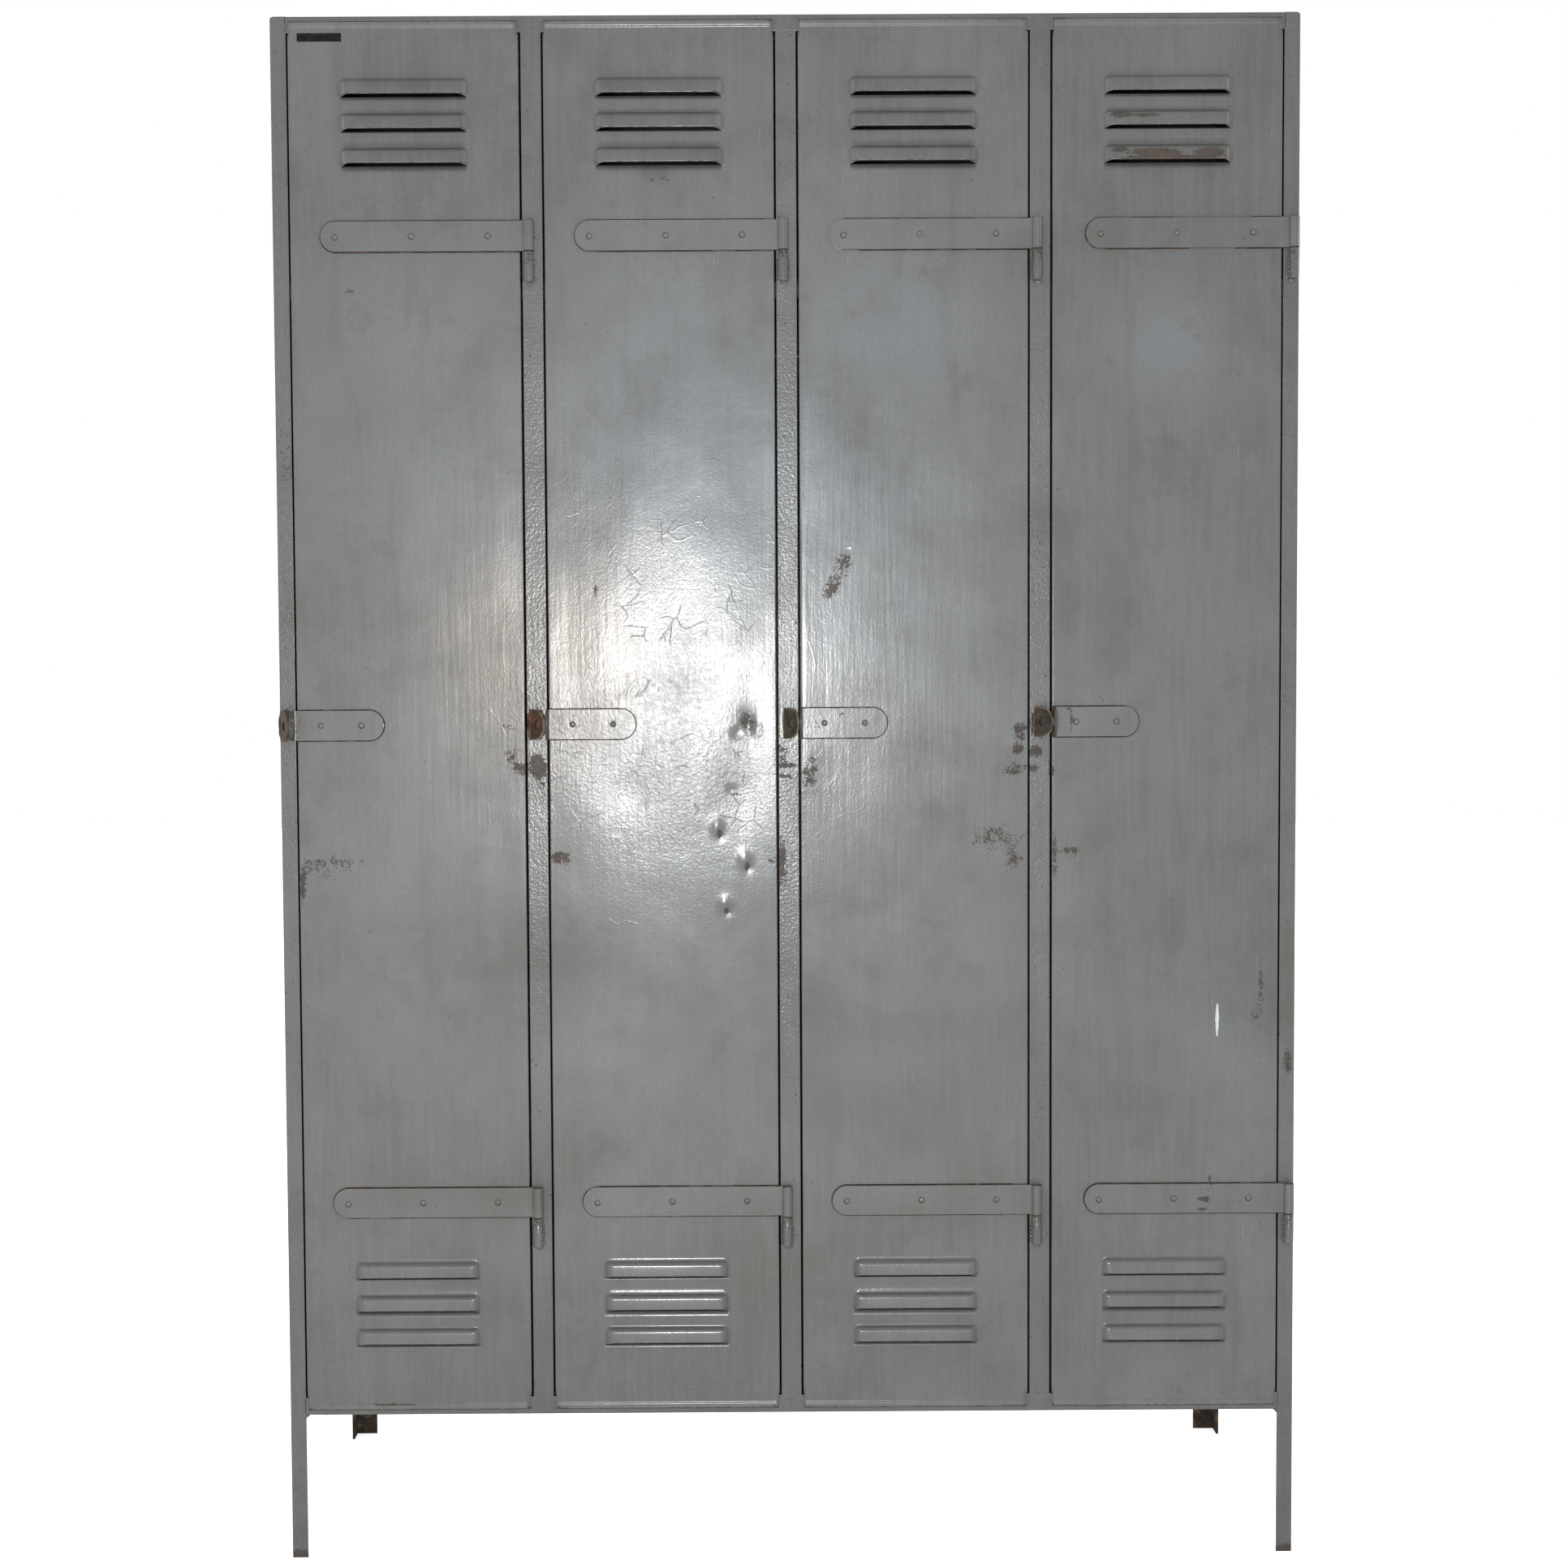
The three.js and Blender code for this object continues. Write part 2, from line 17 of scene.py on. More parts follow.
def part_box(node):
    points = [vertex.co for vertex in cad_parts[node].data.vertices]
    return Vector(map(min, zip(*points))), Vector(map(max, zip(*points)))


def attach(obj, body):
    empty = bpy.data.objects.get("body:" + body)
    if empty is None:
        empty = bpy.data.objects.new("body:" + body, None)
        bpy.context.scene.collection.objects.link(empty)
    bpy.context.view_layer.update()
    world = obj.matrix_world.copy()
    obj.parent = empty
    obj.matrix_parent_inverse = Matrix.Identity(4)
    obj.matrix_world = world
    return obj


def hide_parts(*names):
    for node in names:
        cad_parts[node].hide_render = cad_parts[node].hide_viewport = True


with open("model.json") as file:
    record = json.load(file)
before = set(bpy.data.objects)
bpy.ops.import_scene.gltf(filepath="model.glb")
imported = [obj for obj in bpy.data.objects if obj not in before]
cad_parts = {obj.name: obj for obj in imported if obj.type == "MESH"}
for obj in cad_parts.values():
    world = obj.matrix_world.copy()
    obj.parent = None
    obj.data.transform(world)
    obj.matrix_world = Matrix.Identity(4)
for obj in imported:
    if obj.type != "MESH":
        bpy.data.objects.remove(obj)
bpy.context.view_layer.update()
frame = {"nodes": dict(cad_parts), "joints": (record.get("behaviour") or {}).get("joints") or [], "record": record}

MM = 0.001
DOORS = (1, 2, 3, 4)
LEVELS = ("top", "bottom")

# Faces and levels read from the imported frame.
STILE_LOW, STILE_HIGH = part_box("front_stile_left")
FRONT = STILE_LOW.y
TOP = STILE_HIGH.z
HALF = -STILE_LOW.x
BOTTOM_RAIL_LOW, BOTTOM_RAIL_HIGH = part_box("front_bottom_rail")
TOP_RAIL_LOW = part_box("front_top_rail")[0]

DOOR_SHEET = 1.5 * MM
ANGLE = 3 * MM
MULLION_SHEET = 2 * MM
STILE_FACE = 17.5 * MM
# Old coats of paint stand this far past the steel's edges.
PAINT_BUILD = 0.9 * MM
GUSSET = 4.5 * MM
# The doors' face lies a little ahead of the frame, with the straps' middles a little ahead of that.
FACE = FRONT - 2 * MM
STRAP_THICK = 2.3 * MM
STRAP_MIDDLE = FACE - 1.55 * MM
STRAP_FACE = STRAP_MIDDLE - STRAP_THICK / 2

# The camera that took in the whole front from a little above the middle.
CAMERA_AT = (-0.0541, -3.2375, 1.0483)
CAMERA_PITCH = -0.0544
CAMERA_YAW = 0.0028
CAMERA_ROLL = -0.0055
CAMERA_LENS = 59.13
CAMERA_SENSOR = 36.0
CAMERA_SHIFT = (0.0218, 0.0166)

# The room's own light. The camera sees the backdrop as white.
AMBIENT = 0.58
# Lamps beside the camera, as (name, where it stands, what it faces, width, watts, colour).
LAMPS = [
    ("key", (-0.16, -3.25, 0.99), (-0.10, 0, 0.95), 0.28, 29, (1, 1, 1)),
    ("warm", (-0.40, -3.25, 1.07), (-0.25, 0, 1.0), 0.22, 4.5, (1.0, 0.70, 0.42)),
    ("cool_high", (-0.10, -3.25, 1.34), (-0.05, 0, 1.2), 0.60, 5.5, (0.62, 0.82, 1.0)),
    ("cool_low", (-0.14, -3.25, 0.76), (-0.10, 0, 0.9), 0.30, 1.2, (0.40, 0.70, 1.0)),
]
# Broad suns for the sides and the back, as (name, heading). They come from behind the front's plane.
SUNS = [("rim_left", (1, -0.25, -0.4)), ("rim_right", (-1, -0.25, -0.4)), ("rim_back", (0.2, -1, -0.4))]
SUN_ANGLE = 50
SUN_STRENGTH = 1.0
FLOOR_HALF = 14.0


# Node helpers.


class Nodes:
    """A material's node tree, with short calls for its nodes. Arguments are sockets or constants."""

    def __init__(self, name):
        self.material = bpy.data.materials.new(name)
        self.material.use_nodes = True
        self.tree = self.material.node_tree
        self.tree.nodes.clear()
        self.position = self.add("ShaderNodeTexCoord").outputs["Object"]

    def add(self, kind, **settings):
        node = self.tree.nodes.new(kind)
        for key, value in settings.items():
            setattr(node, key, value)
        return node

    def feed(self, socket, value):
        if isinstance(value, bpy.types.NodeSocket):
            self.tree.links.new(value, socket)
        else:
            socket.default_value = value

    def attribute(self, name):
        return self.add("ShaderNodeAttribute", attribute_name=name).outputs["Fac"]

    def stretched(self, scale):
        mapping = self.add("ShaderNodeMapping")
        self.feed(mapping.inputs["Vector"], self.position)
        mapping.inputs["Scale"].default_value = scale
        return mapping.outputs["Vector"]

    def noise(self, scale, detail=3.0, roughness=0.55, vector=None, distortion=0.0):
        node = self.add("ShaderNodeTexNoise")
        self.feed(node.inputs["Vector"], vector or self.position)
        node.inputs["Scale"].default_value = scale
        node.inputs["Detail"].default_value = detail
        node.inputs["Roughness"].default_value = roughness
        node.inputs["Distortion"].default_value = distortion
        return node.outputs["Fac"]

    def cells(self, feature, scale, vector):
        node = self.add("ShaderNodeTexVoronoi", feature=feature)
        self.feed(node.inputs["Vector"], vector)
        node.inputs["Scale"].default_value = scale
        return node.outputs["Distance"]

    def ramp(self, value, low, high, out_low=0.0, out_high=1.0):
        node = self.add("ShaderNodeMapRange", interpolation_type="SMOOTHSTEP")
        self.feed(node.inputs["Value"], value)
        self.feed(node.inputs["From Min"], low)
        self.feed(node.inputs["From Max"], high)
        self.feed(node.inputs["To Min"], out_low)
        self.feed(node.inputs["To Max"], out_high)
        return node.outputs["Result"]

    def math(self, operation, a, b):
        node = self.add("ShaderNodeMath", operation=operation)
        self.feed(node.inputs[0], a)
        self.feed(node.inputs[1], b)
        return node.outputs["Value"]

    def times(self, a, b):
        return self.math("MULTIPLY", a, b)

    def plus(self, a, b):
        return self.math("ADD", a, b)

    def minus(self, a, b):
        return self.math("SUBTRACT", a, b)

    def mix(self, factor, a, b):
        node = self.add("ShaderNodeMix", data_type="RGBA", clamp_factor=True)
        self.feed(node.inputs["Factor"], factor)
        self.feed(node.inputs["A"], a if isinstance(a, bpy.types.NodeSocket) else (*a, 1))
        self.feed(node.inputs["B"], b if isinstance(b, bpy.types.NodeSocket) else (*b, 1))
        return node.outputs["Result"]

    def warped(self, amount, scale):
        """The position, pushed about by coloured noise, for ragged outlines."""
        node = self.add("ShaderNodeTexNoise")
        self.feed(node.inputs["Vector"], self.position)
        node.inputs["Scale"].default_value = scale
        shift = self.add("ShaderNodeVectorMath", operation="MULTIPLY_ADD")
        self.feed(shift.inputs[0], node.outputs["Color"])
        shift.inputs[1].default_value = (amount, amount, amount)
        self.feed(shift.inputs[2], self.position)
        return shift.outputs["Vector"]

    def bump(self, height, distance, strength=1.0, normal=None):
        node = self.add("ShaderNodeBump")
        self.feed(node.inputs["Height"], height)
        node.inputs["Distance"].default_value = distance
        node.inputs["Strength"].default_value = strength
        if normal is not None:
            self.feed(node.inputs["Normal"], normal)
        return node.outputs["Normal"]

    def finish(self, color, roughness, normal, metallic=0.0, coat=0.0, coat_roughness=0.2, specular=0.5,
               glow=0.0):
        shader = self.add("ShaderNodeBsdfPrincipled")
        self.feed(shader.inputs["Base Color"], color)
        self.feed(shader.inputs["Roughness"], roughness)
        self.feed(shader.inputs["Normal"], normal)
        self.feed(shader.inputs["Metallic"], metallic)
        self.feed(shader.inputs["Coat Weight"], coat)
        shader.inputs["Coat Roughness"].default_value = coat_roughness
        shader.inputs["Specular IOR Level"].default_value = specular
        shader.inputs["Emission Color"].default_value = (1, 1, 1, 1)
        self.feed(shader.inputs["Emission Strength"], glow)
        self.feed(shader.inputs["Coat Normal"], normal)
        out = self.add("ShaderNodeOutputMaterial")
        self.tree.links.new(shader.outputs["BSDF"], out.inputs["Surface"])
        return self.material


# Materials.

GREY = (0.118, 0.120, 0.114)
BLUE_HAZE = (0.170, 0.181, 0.192)
BROWN_FILM = (0.082, 0.078, 0.067)
CHIP_BROWN = (0.070, 0.054, 0.044)
CHIP_EDGE = (0.112, 0.094, 0.080)
RUST_RED = (0.130, 0.062, 0.038)
RUST_DARK = (0.024, 0.018, 0.015)
GRIME_AND_SHADE = (0.030, 0.026, 0.022)
PALE_MARK_AND_HIGHLIGHT = (0.62, 0.66, 0.68)
OCHRE = (0.185, 0.100, 0.040)
RUBBED_AND_HIGHLIGHT = (0.40, 0.34, 0.27)
REAR_RUST = (0.052, 0.036, 0.025)
TUBE_DARK, TUBE_BRIGHT = (0.30, 0.29, 0.27), (0.47, 0.46, 0.44)
TAPE_DARK, TAPE_WORN = (0.010, 0.010, 0.012), (0.030, 0.031, 0.034)
SHADOW_AND_DIRT_DARK, SHADOW_AND_DIRT_PALE, SHADOW_AND_DIRT_RUST = (0.016, 0.014, 0.012), (0.050, 0.044, 0.038), (0.090, 0.040, 0.020)
FLOOR_DULL, FLOOR_PALE = (0.86, 0.86, 0.86), (0.88, 0.88, 0.88)

# Enamel has chipped off where its noise stands over this level less the wear.
CHIP_LEVEL = 1.03


def rust_color(n):
    blend = n.ramp(n.noise(420, 3), 0.30, 0.58)
    base = n.mix(blend, RUST_DARK, CHIP_BROWN)
    return n.mix(n.ramp(n.noise(38, 2), 0.56, 0.78, 0.0, 0.7), base, RUST_RED)


def film_color(n, tone, haze, brush):
    """Paint before damage: grey, with blue haze, a brown film and brush marks, darkened by grime and painted
    shade. Also gives its noises.
    """
    grey, blue, brown = (tuple(c * tone for c in colour) for colour in (GREY, BLUE_HAZE, BROWN_FILM))
    cloud = n.noise(3.2, 5, 0.6)
    film = n.noise(5.5, 6, 0.65, distortion=0.6)
    streak = n.noise(1.0, 4, 0.6, n.stretched((170, 170, 9)))
    wipe = n.noise(1.0, 3, 0.5, n.stretched((34, 34, 5)))
    color = n.mix(n.ramp(film, 0.46, 0.74, 0.0, 0.72), grey, brown)
    hazed = n.times(n.ramp(cloud, 0.44, 0.70), 0.50 * haze)
    hazed = n.plus(hazed, n.times(n.attribute("haze"), n.ramp(film, 0.25, 0.6, 0.45, 1.0)))
    color = n.mix(hazed, color, blue)
    color = n.mix(n.ramp(streak, 0.35, 0.72, 0.0, 0.30 * brush), color, blue)
    color = n.mix(n.ramp(wipe, 0.50, 0.76, 0.0, 0.34 * brush), color, brown)
    color = n.mix(n.ramp(n.noise(19, 5, 0.7), 0.50, 0.70, 0.0, 0.36), color, brown)
    color = n.mix(n.ramp(n.noise(310, 3, 0.7), 0.42, 0.68, 0.0, 0.24), color, brown)
    # Darker where the grime attribute is high: grime, and painted shade round the louvres and behind the padlock
    # holes.
    grime_and_shade = n.times(n.attribute("grime_and_shade"), n.ramp(n.noise(70, 4), 0.25, 0.7, 0.5, 1.0))
    return n.mix(grime_and_shade, color, GRIME_AND_SHADE), film, streak


def chips(n, freckles):
    """Where paint has come off, from 0 to 1, and the stain round it. It needs high wear or a freckle."""
    speck_gate = n.ramp(n.noise(21, 2), freckles, freckles + 0.10)
    specks = n.times(n.ramp(n.cells("F1", 95, n.warped(0.004, 160)), 0.12, 0.07), speck_gate)
    coarse = n.noise(120, 5, 0.7, n.warped(0.006, 60))
    ragged = n.plus(n.times(coarse, 0.54), n.times(n.noise(460, 6, 0.78), 0.76))
    above = n.minus(ragged, n.minus(CHIP_LEVEL, n.attribute("wear")))
    chip = n.math("MAXIMUM", n.ramp(above, -0.008, 0.010), n.times(specks, 0.8))
    return chip, n.ramp(above, -0.20, 0.0, 0.0, 0.26)


def pale_marks_and_highlights(n, color):
    """Fine scratches everywhere, and pale marks where their attribute is high: rubbed marks, and painted highlight
    along the top laps.
    """
    scratch = n.noise(1.0, 2, 0.5, n.stretched((420, 420, 22)))
    scratches = n.times(n.ramp(scratch, 0.70, 0.76), n.ramp(n.noise(6, 3), 0.50, 0.62))
    color = n.mix(n.times(scratches, 0.13), color, PALE_MARK_AND_HIGHLIGHT)
    mark_and_highlight = n.plus(n.attribute("mark_and_highlight"), n.times(n.noise(260, 3), 0.5))
    return n.mix(n.ramp(mark_and_highlight, 0.78, 0.86), color, PALE_MARK_AND_HIGHLIGHT)


def wrinkles(n):
    """Fine raised lines in thick paint, where "ripple" is high."""
    line = n.cells("DISTANCE_TO_EDGE", 30, n.warped(0.07, 15))
    gate = n.times(n.ramp(n.noise(13, 2), 0.53, 0.60), n.attribute("ripple"))
    return n.times(n.ramp(line, 0.0, 0.030, 1.0, 0.0), gate)


def enamel(name, tone=1.0, haze=1.0, gloss=0.46, coat=1.0, brush=1.0, freckles=0.60, grain=1.0,
           polish=0.18):
    """Old grey enamel on steel: cloudy, brushed on, rippled, and chipped to brown where "wear" is high."""
    n = Nodes(name)
    color, film, streak = film_color(n, tone, haze, brush)
    chip, stain = chips(n, freckles)
    wrinkle = wrinkles(n)
    bare = n.times(chip, n.ramp(n.noise(60, 4), 0.35, 0.62, 0.82, 1.0))
    color = n.mix(bare, color, rust_color(n))
    color = pale_marks_and_highlights(n, n.mix(stain, color, CHIP_EDGE))
    color = n.mix(n.times(wrinkle, 0.22), color, GRIME_AND_SHADE)

    rough = n.ramp(film, 0.3, 0.75, gloss - 0.06, gloss + 0.10)
    rough = n.plus(rough, n.ramp(streak, 0.3, 0.7, -0.04, 0.05))
    rough = n.plus(rough, n.times(chip, 0.34))

    orange_peel = n.times(n.noise(260, 4, 0.6, n.warped(0.01, 90)), n.attribute("ripple"))
    normal = n.bump(n.noise(22, 2, 0.5), 0.0011, 0.22)
    normal = n.bump(streak, 0.00024, 0.5 * brush, normal)
    normal = n.bump(n.noise(330, 3, 0.5), 0.00013 * grain, 0.50, normal)
    normal = n.bump(wrinkle, 0.00020, 0.7, normal)
    normal = n.bump(orange_peel, 0.00034, 0.7, normal)
    normal = n.bump(chip, -0.0004, 0.7, normal)

    patchy = n.ramp(n.noise(9, 5, 0.65), 0.30, 0.66, 0.50 * coat, coat)
    coat_weight = n.times(patchy, n.minus(1.0, n.times(chip, 0.9)))
    return n.finish(color, rough, normal, coat=coat_weight, coat_roughness=polish)


def rusted_steel(name, dark, bright, sheen_roughness, coat=0.5, rubbing_and_highlight=0.75):
    """Bare steel, rusted brown and rubbed glossy by use, and paler at its rims and bend: worn metal, and a painted
    highlight.
    """
    n = Nodes(name)
    patch = n.noise(70, 5, 0.6)
    color = n.mix(n.ramp(patch, 0.35, 0.68), dark, bright)
    color = n.mix(n.ramp(n.noise(260, 4), 0.58, 0.72), color, RUST_DARK)
    # Pale where its attribute is high: worn metal, and a painted highlight on the lug's rims and root bend.
    rub_and_highlight_gate = n.ramp(n.noise(90, 3), 0.36, 0.58, 0.2 * rubbing_and_highlight, rubbing_and_highlight)
    color = n.mix(n.times(n.attribute("rub_and_highlight"), rub_and_highlight_gate), color, RUBBED_AND_HIGHLIGHT)
    rough = n.ramp(n.noise(120, 4), 0.3, 0.7, sheen_roughness, sheen_roughness + 0.22)
    normal = n.bump(n.noise(300, 4), 0.0004, 0.6)
    return n.finish(color, rough, normal, metallic=0.15, coat=coat, coat_roughness=0.13, specular=0.25)


def rear_frame_enamel(name):
    """Old dark enamel that has rusted away towards the rear feet, which stand in the damp of the floor."""
    n = Nodes(name)
    split = n.add("ShaderNodeSeparateXYZ")
    n.feed(split.inputs["Vector"], n.position)
    damp = n.ramp(split.outputs["Z"], 0.08, 0.60, 0.30, 0.0)
    paint = n.mix(n.ramp(n.noise(6, 5, 0.65), 0.38, 0.66), GREY, BROWN_FILM)
    rust = n.mix(n.ramp(n.noise(60, 5, 0.6), 0.38, 0.62), RUST_DARK, REAR_RUST)
    rust = n.mix(n.ramp(n.noise(34, 5, 0.7), 0.50, 0.60, 0.0, 0.85), rust, OCHRE)
    bare = n.ramp(n.plus(n.noise(42, 6, 0.72), damp), 0.64, 0.68)
    color = n.mix(bare, paint, rust)
    rough = n.ramp(bare, 0.0, 1.0, 0.50, 0.78)
    return n.finish(color, rough, n.bump(bare, -0.0004, 0.7), coat=0.1, specular=0.3)


def bare_tube(name):
    """Dull drawn steel tube with rub marks along it and a few rust freckles."""
    n = Nodes(name)
    along = n.noise(1.0, 4, 0.6, n.stretched((6, 320, 320)))
    color = n.mix(n.ramp(along, 0.3, 0.7), TUBE_DARK, TUBE_BRIGHT)
    color = n.mix(n.ramp(n.noise(75, 5), 0.62, 0.70), color, CHIP_BROWN)
    rough = n.ramp(along, 0.3, 0.7, 0.30, 0.48)
    return n.finish(color, rough, n.bump(along, 0.0002, 0.5), metallic=0.85)


def tape_film(name):
    """Black embossing tape, mottled, with a faint sheen."""
    n = Nodes(name)
    color = n.mix(n.ramp(n.noise(500, 3), 0.4, 0.7), TAPE_DARK, TAPE_WORN)
    rough = n.ramp(n.noise(160, 3), 0.3, 0.7, 0.28, 0.42)
    return n.finish(color, rough, n.bump(n.noise(220, 3), 0.0002, 0.5), specular=0.05)


def crevice_dirt_and_shadow(name):
    """The dark line along a joint: dirt, old paint and rust, and painted shadow in the crevice."""
    n = Nodes(name)
    base = n.mix(n.ramp(n.noise(55, 4), 0.40, 0.62), SHADOW_AND_DIRT_DARK, SHADOW_AND_DIRT_PALE)
    color = n.mix(n.ramp(n.noise(24, 3), 0.52, 0.66, 0.0, 0.85), base, SHADOW_AND_DIRT_RUST)
    color = n.mix(n.ramp(n.noise(31, 4, 0.6), 0.56, 0.64), color, GREY)
    return n.finish(color, 0.75, n.bump(n.noise(400, 3), 0.0003, 0.6), specular=0.2)


def pale_floor(name):
    """A pale floor that glows for the camera alone, so that it meets the white backdrop."""
    n = Nodes(name)
    color = n.mix(n.ramp(n.noise(2.5, 2), 0.3, 0.7), FLOOR_DULL, FLOOR_PALE)
    glow = n.times(n.add("ShaderNodeLightPath").outputs["Is Camera Ray"], 0.76)
    return n.finish(color, 0.85, n.bump(n.noise(60, 2), 0.0005, 0.2), specular=0.1, glow=glow)


door_paint = enamel("door_enamel")
frame_paint = enamel("frame_enamel", tone=0.97, haze=0.7, gloss=0.47, coat=0.85, freckles=0.42, grain=5.0)
strap_paint = enamel("strap_enamel", tone=1.02, haze=0.8, gloss=0.45, brush=0.6, freckles=0.56)
rivet_paint = enamel("rivet_enamel", tone=1.10, haze=0.5, gloss=0.30, brush=0.3, freckles=0.9, grain=0.2,
                     polish=0.06)
panel_paint = enamel("panel_enamel", tone=0.95, haze=0.8, gloss=0.50, coat=0.5)
interior_paint = enamel("interior_enamel", tone=0.88, haze=0.6, gloss=0.58, coat=0.2)
leg_paint = rear_frame_enamel("rear_leg_rust")
latch_browns = [
    rusted_steel("latch_brown_1", (0.032, 0.016, 0.009), (0.078, 0.036, 0.018), 0.40, 0.05, 0.25),
    rusted_steel("latch_brown_2", (0.038, 0.016, 0.008), (0.115, 0.048, 0.018), 0.22),
    rusted_steel("latch_brown_3", (0.026, 0.019, 0.011), (0.085, 0.066, 0.040), 0.26),
    rusted_steel("latch_brown_4", (0.020, 0.012, 0.008), (0.072, 0.052, 0.034), 0.32, 0.35),
]
tube_steel = bare_tube("coat_rail_steel")
black_tape = tape_film("label_tape")
dirt_and_shadow = crevice_dirt_and_shadow("crevice_dirt_and_shadow")


# Wear, grime, painted shade and painted highlight, painted on the meshes as point attributes. Spots are (x, z,
# half width, half height, strength), with the first four in millimetres in the row frame.

WEAR_AND_SHADE_SPOTS = [
    (-528, 826, 34, 9, 0.40), (-556, 823, 16, 7, 0.46), (-540, 806, 16, 6, 0.38), (-568, 800, 4, 24, 0.52),
    (-330, 984, 16, 6, 0.40), (-322, 950, 12, 12, 0.42), (-312, 934, 11, 8, 0.52),
    (-293, 936, 11, 16, 0.56), (-288, 912, 8, 18, 0.36), (-268, 830, 13, 9, 0.50),
    (-279, 900, 4, 130, 0.34), (-3, 937, 12, 2.8, 0.64), (-3, 926, 12, 1.9, 0.66),
    (-2, 918.5, 10, 1.5, 0.62), (-8, 950, 9, 22, 0.40), (-9, 822, 8, 30, 0.46), (24, 925, 12, 18, 0.43),
    (30, 940, 10, 8, 0.42), (-40, 984, 12, 12, 0.36), (-18, 826, 10, 5, 0.40), (270, 978, 10, 8, 0.50),
    (268, 955, 9, 10, 0.52), (262, 930, 14, 6, 0.54), (288, 952, 9, 7, 0.54), (284, 932, 10, 5, 0.50),
    (240, 850, 42, 22, 0.37), (262, 826, 12, 16, 0.42), (306, 930, 5, 18, 0.42), (330, 836, 16, 9, 0.42),
    (310, 826, 5, 40, 0.40), (552, 672, 4, 38, 0.44), (545, 640, 7, 9, 0.42), (-10, 1180, 8, 40, 0.26),
    (330, 169, 24, 3, 0.48), (-545, 170, 20, 3, 0.46), (-541, 191, 20, 2.5, 0.58),
    (-470, 184, 40, 1.5, 0.46), (-566, 640, 4, 60, 0.30), (318, 600, 4, 160, 0.30), (572, 640, 3, 90, 0.28),
    (-148, 1614, 20, 8, 0.36), (-224, 1140, 2.2, 4, 0.85), (-158, 1148, 1.8, 2.4, 0.70),
    (-81, 857, 2.6, 4.5, 0.72), (-49, 819, 2.6, 4.5, 0.74), (-73, 767, 2.8, 3.5, 0.72),
    (-50, 990, 8, 10, 0.46), (-62, 903, 8, 3, 0.46), (384, 1683, 9, 3.2, 0.74), (412, 1682, 22, 2.4, 0.48),
    (384, 1643, 9, 3, 0.62), (425, 1640, 28, 4.5, 0.62), (488, 1639, 15, 5, 0.74),
    (442, 1634, 50, 2.4, 0.72), (585, 585, 5, 16, 0.52), (-585, 1180, 3, 30, 0.30),
    (494, 445, 1.6, 4.5, 0.80), (486, 424, 6, 1.5, 0.80), (490, 419, 4, 1.2, 0.74),
    (484, 411, 6, 1.3, 0.80), (-505, 1486, 9, 5, 0.40), (-545, 1510, 8, 6, 0.38), (-268, 988, 9, 15, 0.31),
    (-248, 984, 12, 14, 0.28), (-225, 990, 12, 14, 0.26), (-200, 984, 10, 14, 0.26),
    (330, 986, 1.2, 17, 0.72), (326, 1001, 2.5, 1.4, 0.66), (60, 996, 6, 4, 0.40), (32, 980, 8, 14, 0.36),
    # The next four, on the frame behind the padlock holes, are rust and painted shade, so that the holes show
    # dark.
    (-585.9, 986, 7, 12, 1.1), (-292.8, 986, 7, 12, 1.1), (2.2, 986, 7, 12, 1.1), (295.2, 986, 7, 12, 1.1),
]
# The torn remains of a sticker on door 3: a slanting band of small spots.
STICKER_STEPS = 9
for sticker_step in range(STICKER_STEPS):
    share = sticker_step / (STICKER_STEPS - 1)
    WEAR_AND_SHADE_SPOTS.append((70 - 24 * share, 1184 - 52 * share, 12, 5, 0.40 + 0.06 * abs(2 * share - 1)))

# Darker spots: round door 2's dents, under a louvre, and behind the padlock holes, where they are painted shade
# that darkens the holes.
GRIME_AND_SHADE_SPOTS = [
    (-50, 984, 11, 15, 0.36), (-81, 858, 2.5, 4, 0.40), (-49, 820, 2.5, 4, 0.40), (-73, 768, 3, 4, 0.40),
    (-60, 900, 10, 7, 0.30), (-292, 986, 10, 30, 0.30), (0, 986, 9, 30, 0.30), (-148, 1622, 14, 6, 0.45),
    (42, 700, 6, 9, 0.25),
]
HAZE_SPOTS = [
    (-440, 1440, 90, 80, 0.85), (-380, 1270, 60, 90, 0.45), (-150, 1400, 100, 110, 0.45),
    (-130, 1290, 90, 60, 0.42), (150, 1430, 70, 60, 0.90), (130, 1300, 90, 90, 0.40),
    (440, 1420, 60, 55, 0.90), (180, 1060, 70, 90, 0.30), (90, 910, 60, 60, 0.22),
    (500, 1060, 60, 120, 0.26), (100, 590, 45, 30, 0.42), (470, 600, 60, 80, 0.20),
    (-470, 900, 70, 110, 0.20), (-200, 640, 70, 110, 0.16), (-298, 1610, 12, 40, 0.32),
    (500, 1150, 40, 50, 0.24), (-420, 620, 60, 90, 0.16),
]
# Pale marks. The ones at 1793 mm, along the top laps of doors 1 and 4, are painted highlight.
MARK_AND_HIGHLIGHT_SPOTS = [
    (-289, 1527, 5, 12, 0.50), (-292, 1510, 7, 5, 0.50), (-303, 1530, 5, 3, 0.50), (4, 1524, 4, 10, 0.46),
    (501, 636, 1.9, 19, 1.0), (72, 1189, 5, 3, 0.66), (44, 1129, 5, 4, 0.68), (56, 1150, 5, 5, 0.64),
    (62, 1166, 3, 5, 0.58), (-400, 1793, 24, 1.6, 0.52), (-345, 1793, 14, 1.5, 0.58),
    (540, 1793, 16, 1.6, 0.52), (545, 1776, 10, 2.5, 0.62), (538, 1763, 11, 1.2, 0.58),
    (-583, 1282, 1.5, 20, 0.45),
]
RIPPLE_SPOTS = [
    (-140, 960, 110, 130, 1.0), (-130, 1150, 110, 110, 0.60), (-150, 780, 90, 30, 0.5),
    (20, 1180, 20, 60, 0.3),
]


